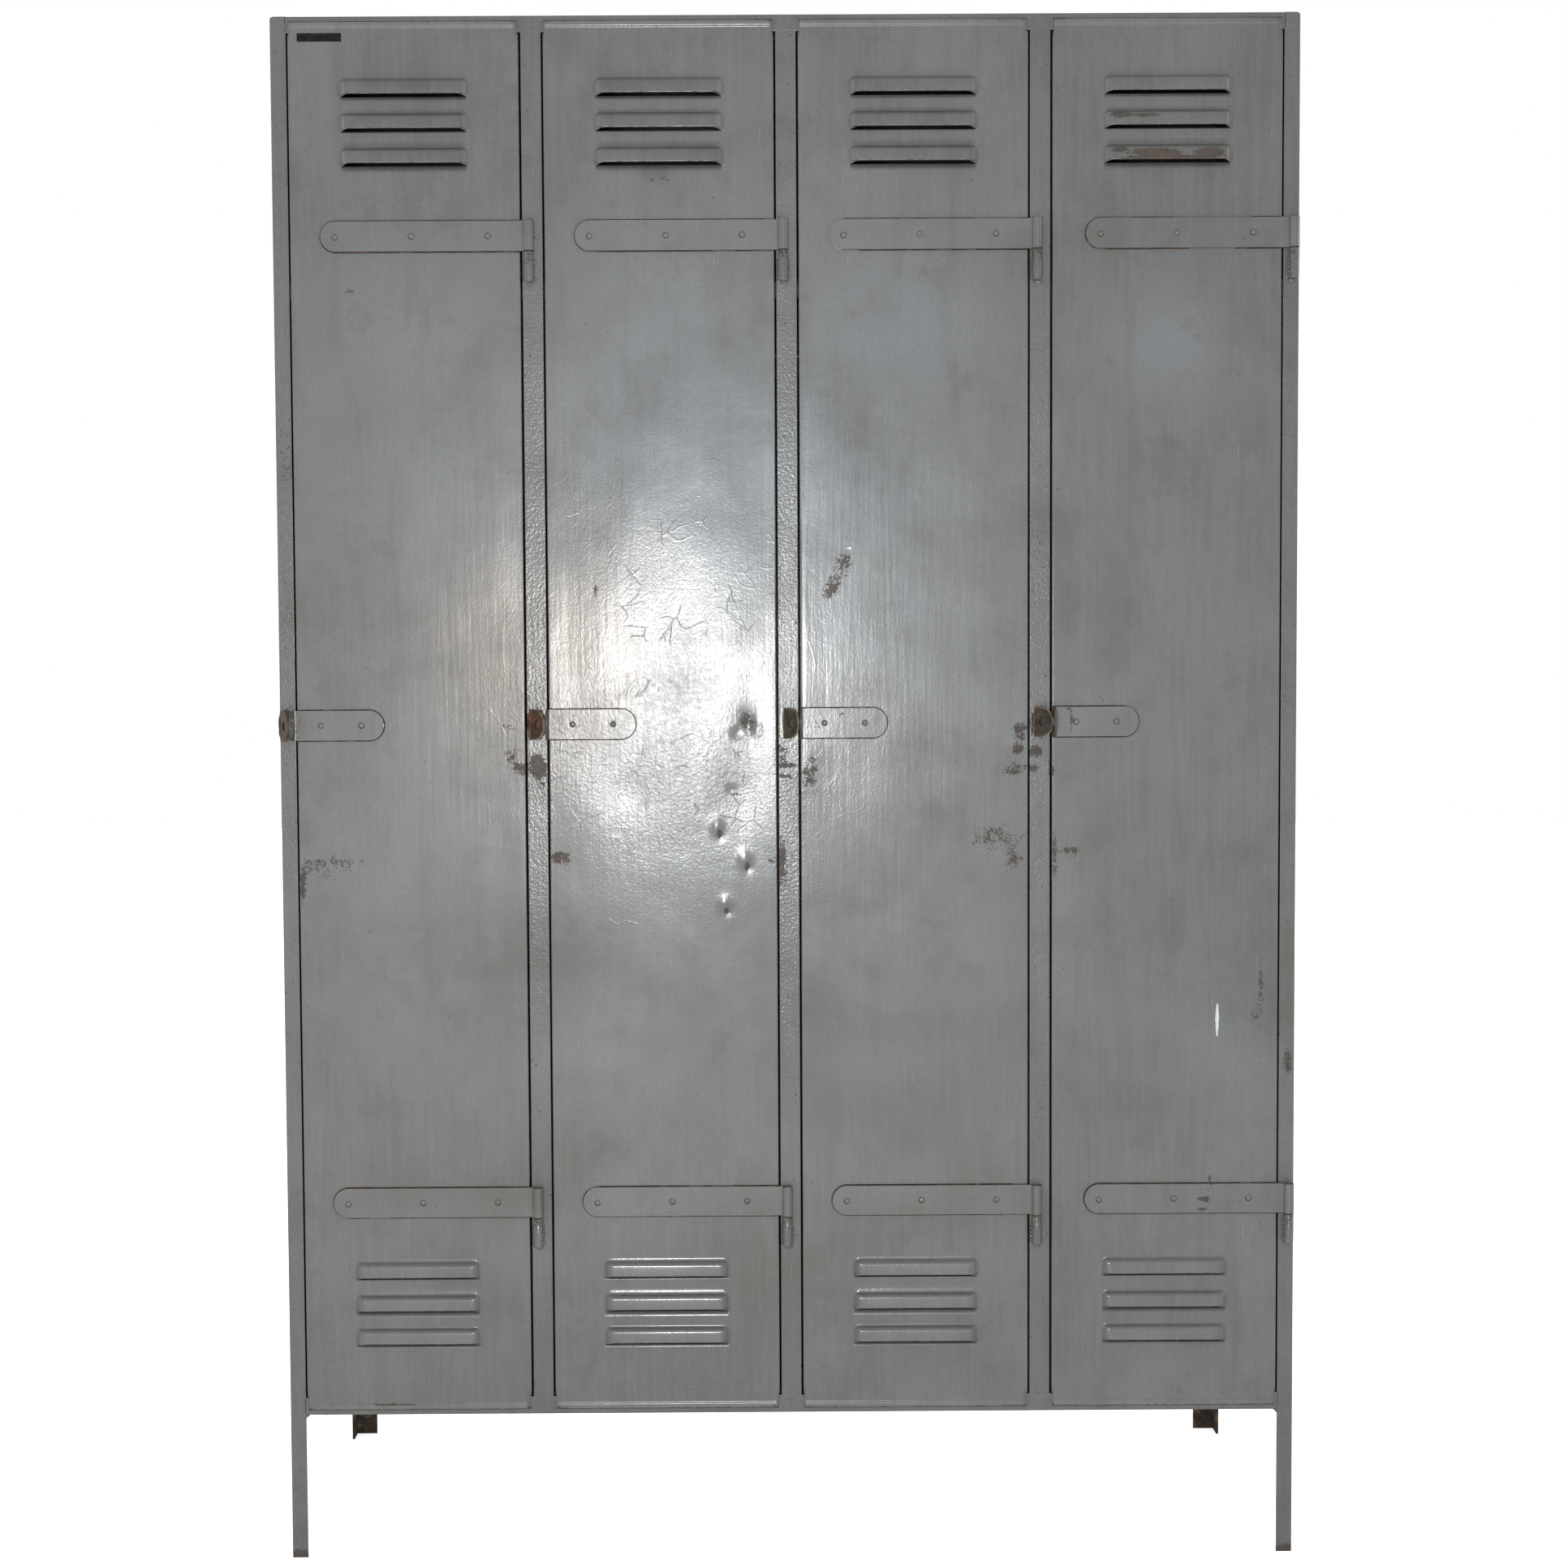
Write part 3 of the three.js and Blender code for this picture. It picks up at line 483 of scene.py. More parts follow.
def fade(distance, reach):
    """Falls from 1 at no distance, by a factor of e with each reach."""
    return np.exp(-distance / reach)


def bell(offset, width):
    return np.exp(-0.5 * (offset / width) ** 2)


def spots_at(x, z, spots):
    total = np.zeros(len(x))
    for cx, cz, rx, rz, strength in spots:
        reach = ((x / MM - cx) / rx) ** 2 + ((z / MM - cz) / rz) ** 2
        total = np.maximum(total, strength * np.exp(-0.5 * reach))
    return total


def points_of(mesh):
    flat = np.empty(len(mesh.vertices) * 3, np.float32)
    mesh.vertices.foreach_get("co", flat)
    return flat.reshape(-1, 3).astype(float)


def weather(mesh, extra_wear=None, extra_grime_and_shade=None):
    """Writes the point attributes for wear, grime and painted shade, haze, pale marks and painted highlight, and
    ripple, from where each vertex lies on the front.
    """
    points = points_of(mesh)
    x, z = points[:, 0], points[:, 2]
    values = {
        "wear": spots_at(x, z, WEAR_AND_SHADE_SPOTS),
        "grime_and_shade": spots_at(x, z, GRIME_AND_SHADE_SPOTS),
        "haze": spots_at(x, z, HAZE_SPOTS),
        "mark_and_highlight": spots_at(x, z, MARK_AND_HIGHLIGHT_SPOTS),
        "ripple": spots_at(x, z, RIPPLE_SPOTS),
    }
    if extra_wear is not None:
        values["wear"] = np.maximum(values["wear"], extra_wear(points))
    if extra_grime_and_shade is not None:
        values["grime_and_shade"] = np.maximum(values["grime_and_shade"], extra_grime_and_shade(points))
    for name, value in values.items():
        layer = mesh.attributes.new(name, "FLOAT", "POINT")
        layer.data.foreach_set("value", value.astype(np.float32))


# Mesh helpers.


def new_piece(name, vertices, faces, material, body, replaces=(), extra_wear=None, extra_grime_and_shade=None,
              rub_and_highlight=None):
    """A smooth mesh that rides a body, with its wear attributes and material, in place of the CAD nodes it
    replaces.
    """
    mesh = bpy.data.meshes.new(name)
    mesh.from_pydata([tuple(v) for v in vertices], [], faces)
    mesh.validate()
    weather(mesh, extra_wear, extra_grime_and_shade)
    if rub_and_highlight is not None:
        layer = mesh.attributes.new("rub_and_highlight", "FLOAT", "POINT")
        layer.data.foreach_set("value", rub_and_highlight(points_of(mesh)).astype(np.float32))
    mesh.materials.append(material)
    mesh.shade_smooth()
    piece = bpy.data.objects.new(name, mesh)
    bpy.context.scene.collection.objects.link(piece)
    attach(piece, body)
    if replaces:
        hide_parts(*replaces)
    return piece


def thicken(piece, thickness, offset):
    modifier = piece.modifiers.new("sheet", "SOLIDIFY")
    modifier.thickness = thickness
    modifier.offset = offset
    modifier.use_even_offset = True
    modifier.use_quality_normals = True
    modifier.thickness_clamp = 0.0


def bevel(piece, width):
    modifier = piece.modifiers.new("edges", "BEVEL")
    modifier.width = width
    modifier.segments = 3
    modifier.limit_method = "ANGLE"
    modifier.angle_limit = math.radians(40)
    modifier.harden_normals = False


# Levels closer than this are merged.
CLOSEST = 0.02 * MM


def evenly(low, high, step):
    """Positions from low to high, about a step apart, rounded so that shared ones match."""
    return {round(p, 7) for p in np.linspace(low, high, max(2, round((high - low) / step) + 1))}


def graded(low, high, coarse, zones):
    """Positions from low to high, coarse apart, and closer inside zones of (start, end, step)."""
    positions = evenly(low, high, coarse)
    for start, end, step in zones:
        start, end = max(start, low), min(end, high)
        if end > start:
            positions = {p for p in positions if not start < p < end} | evenly(start, end, step)
    ordered = sorted(positions)
    return [p for i, p in enumerate(ordered) if i == 0 or p - ordered[i - 1] > CLOSEST]


def ring_faces(count, stations):
    """Quads for a tube of rings of count points, and its two end caps."""
    faces = []
    for s in range(stations - 1):
        for i in range(count):
            j = (i + 1) % count
            faces.append((s * count + i, s * count + j, (s + 1) * count + j, (s + 1) * count + i))
    faces.append(tuple(reversed(range(count))))
    faces.append(tuple((stations - 1) * count + i for i in range(count)))
    return faces


# Points this far either side of a rounded corner keep the flats beside it flat in the shading.
CORNER_SUPPORT = 0.15 * MM
CORNER_STEPS = 3


def rounded(points, radii):
    """A closed outline with each corner rounded by its own radius."""
    outline = []
    count = len(points)
    for i, (point, radius) in enumerate(zip(points, radii)):
        corner = np.array(point, float)
        before = np.array(points[i - 1], float) - corner
        after = np.array(points[(i + 1) % count], float) - corner
        reach = min(radius, 0.42 * np.linalg.norm(before), 0.42 * np.linalg.norm(after))
        if reach <= 0:
            outline.append(tuple(corner))
            continue
        before /= np.linalg.norm(before)
        after /= np.linalg.norm(after)
        start = corner + before * reach
        end = corner + after * reach
        outline.append(tuple(start + before * CORNER_SUPPORT))
        for s in range(CORNER_STEPS + 1):
            t = s / CORNER_STEPS
            outline.append(tuple((1 - t) ** 2 * start + 2 * t * (1 - t) * corner + t**2 * end))
        outline.append(tuple(end + after * CORNER_SUPPORT))
    return outline


# Doors.

LOUVRE_LIPS = [1710.5 * MM, 1671.2 * MM, 1631.9 * MM, 336 * MM, 296.5 * MM, 257 * MM]
LOUVRE_HALF = 73.5 * MM
LOUVRE_HEIGHT = 18.5 * MM
LOUVRE_OUT = 7.8 * MM
LOUVRE_SLOT = 2.9 * MM
LOUVRE_END = 12 * MM
LOUVRE_CROWN = 6 * MM
LOUVRE_CORNER = 8 * MM
LOUVRE_FILLET = 2.6 * MM
LOUVRE_SHOULDER = 0.62
LOUVRE_BLEND = 0.26
LOUVRE_ROWS = 15
DOOR_RADIUS = 1.2 * MM
DOOR_RETURN = 15 * MM
DOOR_LIP = 10 * MM
FLARE_HEIGHT = 7 * MM
FLARE_OUT = 1.5 * MM
RAIL_CLEARANCE = 2 * MM
LAP_INSET = 1.5 * MM
LAP_SHADOW_THICK = 0.4 * MM

# How far apart the points of a door sheet are: across and up it, at louvres, laps and the dents of door 2.
COLUMN_STEP = 6 * MM
DENTED_COLUMN_STEP = 3.2 * MM
ROW_STEP = 9 * MM
LOUVRE_COLUMN_STEP = 1.3 * MM
LAP_ROW_STEP = 0.8 * MM
DENTED_ROWS = (750 * MM, 1010 * MM, 2.6 * MM)

# A sheet is uneven by this much, slowly and more closely, but not at its folded sides or its ends.
SLOW_SWAY = 0.9 * MM
NEAR_SWAY = 0.16 * MM
STIFF_SIDE = 4 * MM
SWAY_FROM_SIDE = 25 * MM
SWAY_FROM_END = 40 * MM

# Door 3's left edge is rolled back a little, from beside the lug upwards, where it catches the light.
EDGE_ROLL = 0.15 * MM
EDGE_ROLL_WIDTH = 3 * MM
EDGE_ROLL_FROM = 940 * MM
EDGE_ROLL_TO = 1250 * MM
EDGE_ROLL_EASE_IN = 30 * MM
EDGE_ROLL_EASE_OUT = 60 * MM

# Dents in door 2, as (x, z, half width, half height, depth) in millimetres. A negative depth stands out.
DENTS = [
    (-84, 865, 5, 7, -1.1), (-80, 856, 3.5, 4, 0.8), (-52, 827, 5, 7, -1.2), (-48, 818, 3, 4, 0.9),
    (-76, 775, 5, 6, -1.0), (-72, 767, 3.5, 4, 0.8), (-47, 986, 5, 10, 1.2), (-37, 980, 4, 7, -0.8),
    (-97, 1040, 18, 20, 0.8), (-120, 1066, 16, 14, -0.3), (-180, 905, 26, 20, 0.5),
    (-60, 974, 4, 5, 0.9), (-60, 900, 22, 28, 0.8), (-66, 908, 4, 3.5, 0.7), (-40, 992, 24, 30, 0.9),
]


def crown(distance, reach):
    """How far a pressed hood has risen, from 0 at its edge to 1, at a distance in from that edge."""
    t = np.clip(distance / reach, 0, 1)
    return (1 - (1 - t) ** 2.2) * 1.12 * t / (t + 0.12)


def hood_inset(from_end, from_top):
    """How far inside a hood's rounded outline a point lies. It is below 0 outside."""
    inside = np.minimum(np.minimum(from_end, from_top), LOUVRE_CORNER)
    to_end = np.maximum(LOUVRE_CORNER - from_end, 0)
    to_top = np.maximum(LOUVRE_CORNER - from_top, 0)
    return np.minimum(inside, LOUVRE_CORNER - np.hypot(to_end, to_top))


def hood_height(from_end, from_top):
    """How far a hood stands out: the lesser of its end slope and its top slope, blended where they meet."""
    a = crown(from_end, LOUVRE_END)
    b = LOUVRE_SHOULDER * crown(from_top, LOUVRE_CROWN)
    b = b + (1 - LOUVRE_SHOULDER) * np.clip(from_top / LOUVRE_HEIGHT, 0, 1)
    h = np.clip(0.5 + 0.5 * (b - a) / LOUVRE_BLEND, 0, 1)
    height = np.clip(b * (1 - h) + a * h - LOUVRE_BLEND * h * (1 - h), 0, 1)
    height = height * crown(hood_inset(from_end, from_top), LOUVRE_FILLET)
    return LOUVRE_OUT * np.maximum(height, 1e-5)


def sheet_sway(xs, z, number):
    """The unevenness of a large thin sheet at one level, and on door 2 its dents. Positive is inwards."""
    slow = np.array([noise.noise(Vector((x * 5.5 + number * 7.3, 0.4, z * 3.1))) for x in xs]) * SLOW_SWAY
    near = np.array([noise.noise(Vector((x * 17 + number * 3.7, 2.4, z * 11))) for x in xs])
    if number == 2:
        slow *= 0.45
        near *= 2.1
    sway = slow + near * NEAR_SWAY
    if number == 2:
        for cx, cz, rx, rz, depth in DENTS:
            reach = ((xs / MM - cx) / rx) ** 2 + ((z / MM - cz) / rz) ** 2
            sway += depth * MM * np.exp(-0.5 * reach)
    return sway


def door_columns(x0, x1, centre, step):
    """Across the unfolded door sheet, as (x, depth behind the face, on the flat face or not)."""
    arc = [math.radians(a) for a in (90, 67.5, 45, 22.5, 0)]
    left = [(x0 + DOOR_LIP, DOOR_RETURN), (x0 + 5 * MM, DOOR_RETURN), (x0, DOOR_RETURN), (x0, 9 * MM)]
    left += [(x0 + DOOR_RADIUS * (1 - math.sin(a)), DOOR_RADIUS * (1 - math.cos(a))) for a in arc]
    end_zone = LOUVRE_END + 3 * MM
    louvre_left, louvre_right = centre - LOUVRE_HALF, centre + LOUVRE_HALF
    zones = [
        (louvre_left, louvre_left + end_zone, LOUVRE_COLUMN_STEP),
        (louvre_right - end_zone, louvre_right, LOUVRE_COLUMN_STEP),
        (x0 + LAP_INSET, x0 + LAP_INSET + EDGE_ROLL_WIDTH, EDGE_ROLL_WIDTH / 2),
    ]
    flat = [(x, 0.0, True) for x in graded(x0 + LAP_INSET, x1 - LAP_INSET, step, zones)]
    right = [(x0 + x1 - x, y) for x, y in reversed(left)]
    return [(x, y, False) for x, y in left] + flat + [(x, y, False) for x, y in right]


def nearest(levels, wanted):
    return min(range(len(levels)), key=lambda i: abs(levels[i] - wanted))


def door_levels(low, high, number, tray):
    """The heights of the sheet's rows of points: closer at louvres and laps, and at the dents of door 2."""
    louvre_step = (LOUVRE_HEIGHT + LOUVRE_SLOT) / LOUVRE_ROWS
    zones = [(lip - LOUVRE_SLOT, lip + LOUVRE_HEIGHT, louvre_step) for lip in LOUVRE_LIPS]
    if number == 2:
        zones.append(DENTED_ROWS)
    lap = FLARE_HEIGHT + 1 * MM
    zones += [(high - lap, high, LAP_ROW_STEP), (low, low + lap, LAP_ROW_STEP)]
    levels = graded(low, high, ROW_STEP, zones)
    for edge in tray:
        levels[nearest(levels, edge)] = edge
    return levels


def flare_at(z, low, high):
    """How far the sheet is turned out at its top and bottom laps."""
    t = max(0.0, 1 - min(abs(high - z), abs(low - z)) / FLARE_HEIGHT)
    return FLARE_OUT * (0.62 * min(1.0, t / 0.25) + 0.38 * t)


def edge_roll(xs, z, x0):
    ease = np.clip((z - EDGE_ROLL_FROM) / EDGE_ROLL_EASE_IN, 0, 1)
    ease = ease * np.clip((EDGE_ROLL_TO - z) / EDGE_ROLL_EASE_OUT, 0, 1)
    return ease * EDGE_ROLL * np.clip(1 - (xs - x0 - LAP_INSET) / EDGE_ROLL_WIDTH, 0, 1)


def louvres_at(xs, z, centre, flat):
    """At one level of the sheet, each point's raised height and how far it stands out."""
    from_end = LOUVRE_HALF - np.abs(xs - centre)
    inside = flat & (from_end > 1e-6)
    rise, hood = np.full(len(xs), z), np.zeros(len(xs))
    for lip in LOUVRE_LIPS:
        start, top = lip - LOUVRE_SLOT, lip + LOUVRE_HEIGHT
        if start - 1e-6 <= z <= top + 1e-6:
            share = (z - start) / (top - start)
            lip_line = start + LOUVRE_SLOT * crown(from_end, LOUVRE_END)
            rise = np.where(inside, lip_line + (top - lip_line) * share, z)
            hood = np.where(inside, hood_height(from_end, top - rise), 0)
    return rise, hood


def door_wear(number, low, high, centre):
    """Wear on a door's laps, folded sides, louvre lips and bottom joggle."""

    def wear(points):
        x, _, z = points.T
        from_side = np.minimum(x - low.x, high.x - x)
        lap = fade(np.minimum(high.z - z, z - low.z), 3 * MM) * (0.32 + 0.10 * (z < 0.5))
        corner = fade(from_side, 10 * MM) * 0.16 * (lap > 0.02)
        side = fade(from_side, 1.5 * MM) * 0.38
        lips = np.zeros(len(x))
        for lip in LOUVRE_LIPS:
            lips = np.maximum(lips, bell(z - lip, 1.3 * MM) * (np.abs(x - centre) < LOUVRE_HALF) * 0.40)
        joggle = fade(np.abs(z - low.z - FLARE_HEIGHT), 0.9 * MM) * (0.30 + 0.10 * (number in (1, 4)))
        return np.maximum.reduce([lap + corner, side, lips, joggle])

    return wear


def louvre_shade(centre):
    """Painted shade round each hood, and on the upper hoods' slopes, darker towards their tops."""

    def grime_and_shade(points):
        x, _, z = points.T
        shade = np.zeros(len(x))
        for lip in LOUVRE_LIPS:
            upper = lip > 1
            inset = hood_inset(LOUVRE_HALF - np.abs(x - centre), lip + LOUVRE_HEIGHT - z)
            beside = np.clip((z - lip + LOUVRE_SLOT) / (3 * MM), 0, 1)
            edge = (0.30 if upper else 0.10) * np.exp(-((inset - 0.6 * MM) / (1.9 * MM)) ** 2)
            slope = 0.16 * (inset > 0) * np.clip((z - lip) / LOUVRE_HEIGHT, 0, 1) * upper
            shade = np.maximum(shade, np.maximum(edge, slope) * beside)
        return shade

    return grime_and_shade


def door_panel(number):
    """A door's folded sheet. Its sides fold back between the rails, and its louvres are slit and pressed."""
    low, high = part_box(f"door_panel_{number}")
    x0, x1 = low.x, high.x
    centre = (x0 + x1) / 2
    columns = door_columns(x0, x1, centre, DENTED_COLUMN_STEP if number == 2 else COLUMN_STEP)
    tray_low = BOTTOM_RAIL_HIGH.z + RAIL_CLEARANCE
    tray_high = TOP_RAIL_LOW.z - RAIL_CLEARANCE
    levels = door_levels(low.z, high.z, number, (tray_low, tray_high))
    slots = {nearest(levels, lip - LOUVRE_SLOT) for lip in LOUVRE_LIPS}

    xs = np.array([c[0] for c in columns])
    flat = np.array([c[2] for c in columns])
    side_share = np.clip((np.minimum(xs - x0, x1 - xs) - STIFF_SIDE) / SWAY_FROM_SIDE, 0, 1)
    # lower holds each point that the rows below join, and upper the second one that a slot's hood rises from.
    vertices, lower, upper = [], {}, {}
    for i, z in enumerate(levels):
        rise, hood = louvres_at(xs, z, centre, flat)
        end_share = np.clip(min(z - tray_low, tray_high - z) / SWAY_FROM_END, 0, 1)
        sway = sheet_sway(xs, z, number) * side_share * end_share
        if number == 3:
            sway = sway + edge_roll(xs, z, x0)
        flare = flare_at(z, low.z, high.z)
        for j, (x, depth, on_face) in enumerate(columns):
            if not on_face and not tray_low - 1e-7 <= z <= tray_high + 1e-7:
                continue
            y = FACE + depth + (sway[j] - flare if on_face else 0)
            lower[i, j] = len(vertices)
            if i in slots and on_face and hood[j] > 0:
                vertices.append((x, y, z))
                upper[i, j] = len(vertices)
            vertices.append((x, y - hood[j], rise[j]))

    faces = []
    for i in range(len(levels) - 1):
        for j in range(len(columns) - 1):
            corners = ((i, j), (i, j + 1), (i + 1, j + 1), (i + 1, j))
            if all(corner in lower for corner in corners):
                a, b, c, d = corners
                faces.append((upper.get(a, lower[a]), upper.get(b, lower[b]), lower[c], lower[d]))

    piece = new_piece(
        f"door_sheet_{number}", vertices, faces, door_paint, f"door_{number}",
        [f"door_panel_{number}"], door_wear(number, low, high, centre), louvre_shade(centre),
    )
    thicken(piece, DOOR_SHEET, -1.0)
    # Along each lap's edge, a thin dark plate on the rail: painted shadow of the turned-out lap.
    for name, edge, way in (("top", high.z, 1), ("bottom", low.z, -1)):
        z0, z1 = sorted((edge + way * 1.1 * MM, edge - way * 0.5 * MM))
        left, right = x0 + 1 * MM, x1 - 1 * MM
        outline = [(left, z0), (right, z0), (right, z1), (left, z1)]
        flat_plate(f"lap_shadow_{number}_{name}", outline, FRONT, FRONT - LAP_SHADOW_THICK, dirt_and_shadow, "cabinet")


# The front frame: swept angle iron and channel, butted and welded.


def divided(outline, step):
    """The outline with extra points on its long straight runs, so that wear can vary along them."""
    points = []
    for i, start in enumerate(outline):
        end = outline[(i + 1) % len(outline)]
        count = max(1, round(math.dist(start, end) / step))
        run = (end[0] - start[0], end[1] - start[1])
        points += [(start[0] + run[0] * k / count, start[1] + run[1] * k / count) for k in range(count)]
    return points


def swept_up(section, levels, shape=None):
    """A section in X and Y, run up through the levels. shape(points, z) may change it on the way."""
    vertices = []
    for z in levels:
        points = section if shape is None else shape(section, z)
        vertices += [(x, y, z) for x, y in points]
    return vertices, ring_faces(len(section), len(levels))


def swept_across(section, stations):
    """A section in Y and Z, run across through the stations."""
    vertices = [(x, y, z) for x in stations for y, z in section]
    return vertices, ring_faces(len(section), len(stations))


def facing_out(piece):
    bm = bmesh.new()
    bm.from_mesh(piece.data)
    bmesh.ops.recalc_face_normals(bm, faces=bm.faces)
    bm.to_mesh(piece.data)
    bm.free()
    piece.data.shade_smooth()
    piece.data.set_sharp_from_angle(angle=math.radians(35))


def edge_wear(points):
    return np.full(len(points), 0.16)


def front_stile(name, side):
    """A front corner of angle iron, which runs down as a leg. side is -1 on the left and 1 on the right."""
    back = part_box(f"front_stile_{name}")[1].y
    outer = side * HALF
    inner = side * (HALF - STILE_FACE - PAINT_BUILD)
    web = side * (HALF - ANGLE)
    section = rounded(
        [(outer, FRONT), (inner, FRONT), (inner, FRONT + ANGLE),
         (web, FRONT + ANGLE), (web, back), (outer, back)],
        [1.6 * MM, 0.4 * MM, 0.7 * MM, 1.5 * MM, 0.6 * MM, 0.6 * MM],
    )
    section = divided(section, 3.5 * MM)
    corner = 4.5 * MM
    rail = BOTTOM_RAIL_LOW.z

    def shaped(points, z):
        """Rounds the top corner, and fills the corner under the bottom rail with a gusset."""
        drop = max(0.0, z - (TOP - corner))
        pull = corner - math.sqrt(max(0.0, corner**2 - drop**2))
        push = GUSSET - (rail - z) if rail - GUSSET < z <= rail + 1e-6 else 0.0
        moved = []
        for x, y in points:
            near_inner = abs(x) < abs(inner) + 0.6 * MM
            reach = abs(x) - (push if near_inner else 0.0)
            moved.append((side * min(reach, HALF - pull), y))
        return moved

    levels = graded(0, TOP, 6 * MM, [(TOP - corner, TOP, 0.75 * MM), (rail - GUSSET, rail, 0.9 * MM)])
    levels = sorted(levels + [rail + 0.02 * MM])
    vertices, faces = swept_up(section, levels, shaped)

    def foot_wear(points):
        return np.maximum(0.22, 0.95 * fade(points[:, 2], 8 * MM))

    piece = new_piece(f"front_stile_piece_{name}", vertices, faces, frame_paint, "cabinet",
                      [f"front_stile_{name}"], extra_wear=foot_wear)
    facing_out(piece)


def front_rail(name, up):
    """The front top or bottom rail, butted against the stiles. up is 1 at the top and -1 at the bottom."""
    node = f"front_{name}_rail"
    low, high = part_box(node)
    outer, inner = (high.z, low.z) if up > 0 else (low.z, high.z)
    lying = outer - up * ANGLE
    half = HALF - STILE_FACE
    section = rounded(
        [(FRONT, outer), (high.y, outer), (high.y, lying),
         (FRONT + ANGLE, lying), (FRONT + ANGLE, inner), (FRONT, inner)],
        [1.6 * MM, 0.6 * MM, 0.6 * MM, 1.5 * MM, 0.7 * MM, 0.7 * MM],
    )
    vertices, faces = swept_across(divided(section, 3.5 * MM), graded(-half, half, 6 * MM, []))
    piece = new_piece(f"front_rail_piece_{name}", vertices, faces, frame_paint, "cabinet",
                      [node], extra_wear=edge_wear)
    facing_out(piece)


def mullion(number):
    """A channel between two doors, with its legs to the back."""
    low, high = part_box(f"mullion_{number}")
    x0, x1 = low.x - PAINT_BUILD, high.x + PAINT_BUILD
    y0, y1 = low.y, high.y
    section = rounded(
        [(x0, y0), (x1, y0), (x1, y1), (x1 - MULLION_SHEET, y1), (x1 - MULLION_SHEET, y0 + MULLION_SHEET),
         (x0 + MULLION_SHEET, y0 + MULLION_SHEET), (x0 + MULLION_SHEET, y1), (x0, y1)],
        [0.8 * MM, 0.8 * MM, 0.5 * MM, 0.5 * MM, 1 * MM, 1 * MM, 0.5 * MM, 0.5 * MM],
    )
    levels = graded(BOTTOM_RAIL_HIGH.z, TOP_RAIL_LOW.z, 4 * MM, [])
    vertices, faces = swept_up(divided(section, 3.2 * MM), levels)
    piece = new_piece(f"mullion_piece_{number}", vertices, faces, frame_paint, "cabinet",
                      [f"mullion_{number}"], extra_wear=edge_wear)
    facing_out(piece)


def add_lump(bm, middle, size, unevenness, pitch, shift):
    """Adds a rounded lump with an uneven skin to bm."""
    start = len(bm.verts)
    bmesh.ops.create_icosphere(bm, subdivisions=3, radius=1)
    bm.verts.ensure_lookup_table()
    for vertex in bm.verts[start:]:
        unit = vertex.co.normalized()
        swell = 1 + unevenness * noise.noise(unit * pitch + Vector(shift))
        vertex.co = Vector((unit.x * size[0], unit.y * size[1], unit.z * size[2])) * swell + Vector(middle)


def cabinet_piece(name, bm, material):
    """Makes a piece of the cabinet from bm, and frees bm."""
    bm.verts.index_update()
    vertices = [tuple(v.co) for v in bm.verts]
    faces = [tuple(v.index for v in f.verts) for f in bm.faces]
    bm.free()
    new_piece(name, vertices, faces, material, "cabinet")


WELD_PITCH = 2.2 * MM
WELD_LUMP = 2.9 * MM


def weld(name, centre, size, seed):
    """A rough run of weld on the frame: a row of small lumps, painted over."""
    count = max(1, round(size[2] / WELD_PITCH))
    bm = bmesh.new()
    for i in range(count):
        share = (2 * (i + 0.5) / count - 1) if count > 1 else 0
        drift = noise.noise(Vector((seed * 1.7, i * 0.9, 0.2)))
        lump = (size[0] * (0.95 + 0.5 * drift), size[1] * (0.9 + 0.3 * drift), min(size[2], WELD_LUMP))
        middle = (centre[0] + drift * 1.2 * MM, centre[1] - 0.3 * MM, centre[2] + share * size[2])
        add_lump(bm, middle, lump, 0.35, 2.1, (seed, i * 2.3, 1.3))
    cabinet_piece(name, bm, frame_paint)


# Strips: straps, hasps and lugs are strips of steel, bent along a path seen from above.


def along_path(points, spacing):
    """A smooth path through the points, as (x, y) spaced evenly, and each one's distance from the start."""
    path = np.array(points, float)
    lengths = np.concatenate([[0], np.cumsum(np.linalg.norm(np.diff(path, axis=0), axis=1))])
    stations = np.linspace(0, lengths[-1], max(4, round(lengths[-1] / spacing) + 1))
    return np.stack([np.interp(stations, lengths, path[:, k]) for k in (0, 1)], -1), stations


# Where a strip's vertices lie across it, from rim to rim. They bunch at the rims, where the wear is.
STRIP_ROWS = (-1, -0.975, -0.94, -0.87, -0.72, -0.48, -0.24, 0, 0.24, 0.48, 0.72, 0.87, 0.94, 0.975, 1)


def strip(name, path, half_height, z, material, body, replaces, extra_wear=None, rub_and_highlight=None):
    """A strip of steel along path, with half_height at each station, thickened about its middle."""
    vertices = []
    for (x, y), half in zip(path, half_height):
        vertices += [(x, y, z + half * row) for row in STRIP_ROWS]
    faces = []
    width = len(STRIP_ROWS)
    for s in range(len(path) - 1):
        for r in range(width - 1):
            a = s * width + r
            faces.append((a, a + width, a + width + 1, a + 1))
    piece = new_piece(name, vertices, faces, material, body, replaces, extra_wear, rub_and_highlight=rub_and_highlight)
    thicken(piece, STRAP_THICK, 0.0)
    return piece


def strap_halves(stations):
    """Half heights along a strap whose start is rounded."""
    t = np.clip(stations / STRAP_HALF, 0, 1)
    return np.maximum(STRAP_HALF * (1 - (1 - t) ** 2) ** 0.5, 0.35 * MM)


def lug_halves(along, half, nose):
    """Half heights at distances from a lug's tip. Its outline is fuller than a circle."""
    t = np.clip(along / nose, 0, 1)
    return half * (1 - (1 - t) ** LUG_FULL) ** (1 / LUG_FULL)


TIP_STATIONS = 14


def denser_start(stations, reach):
    """Stations with extra ones near the start, bunched towards the tip."""
    near = reach * (1 - np.cos(np.linspace(0, math.pi / 2, TIP_STATIONS)))
    return np.concatenate([near, stations[stations > reach + 1e-4]])


def at(path, stations, wanted):
    """The points of a path at the wanted distances from its start."""
    return np.stack([np.interp(wanted, stations, path[:, k]) for k in (0, 1)], -1)


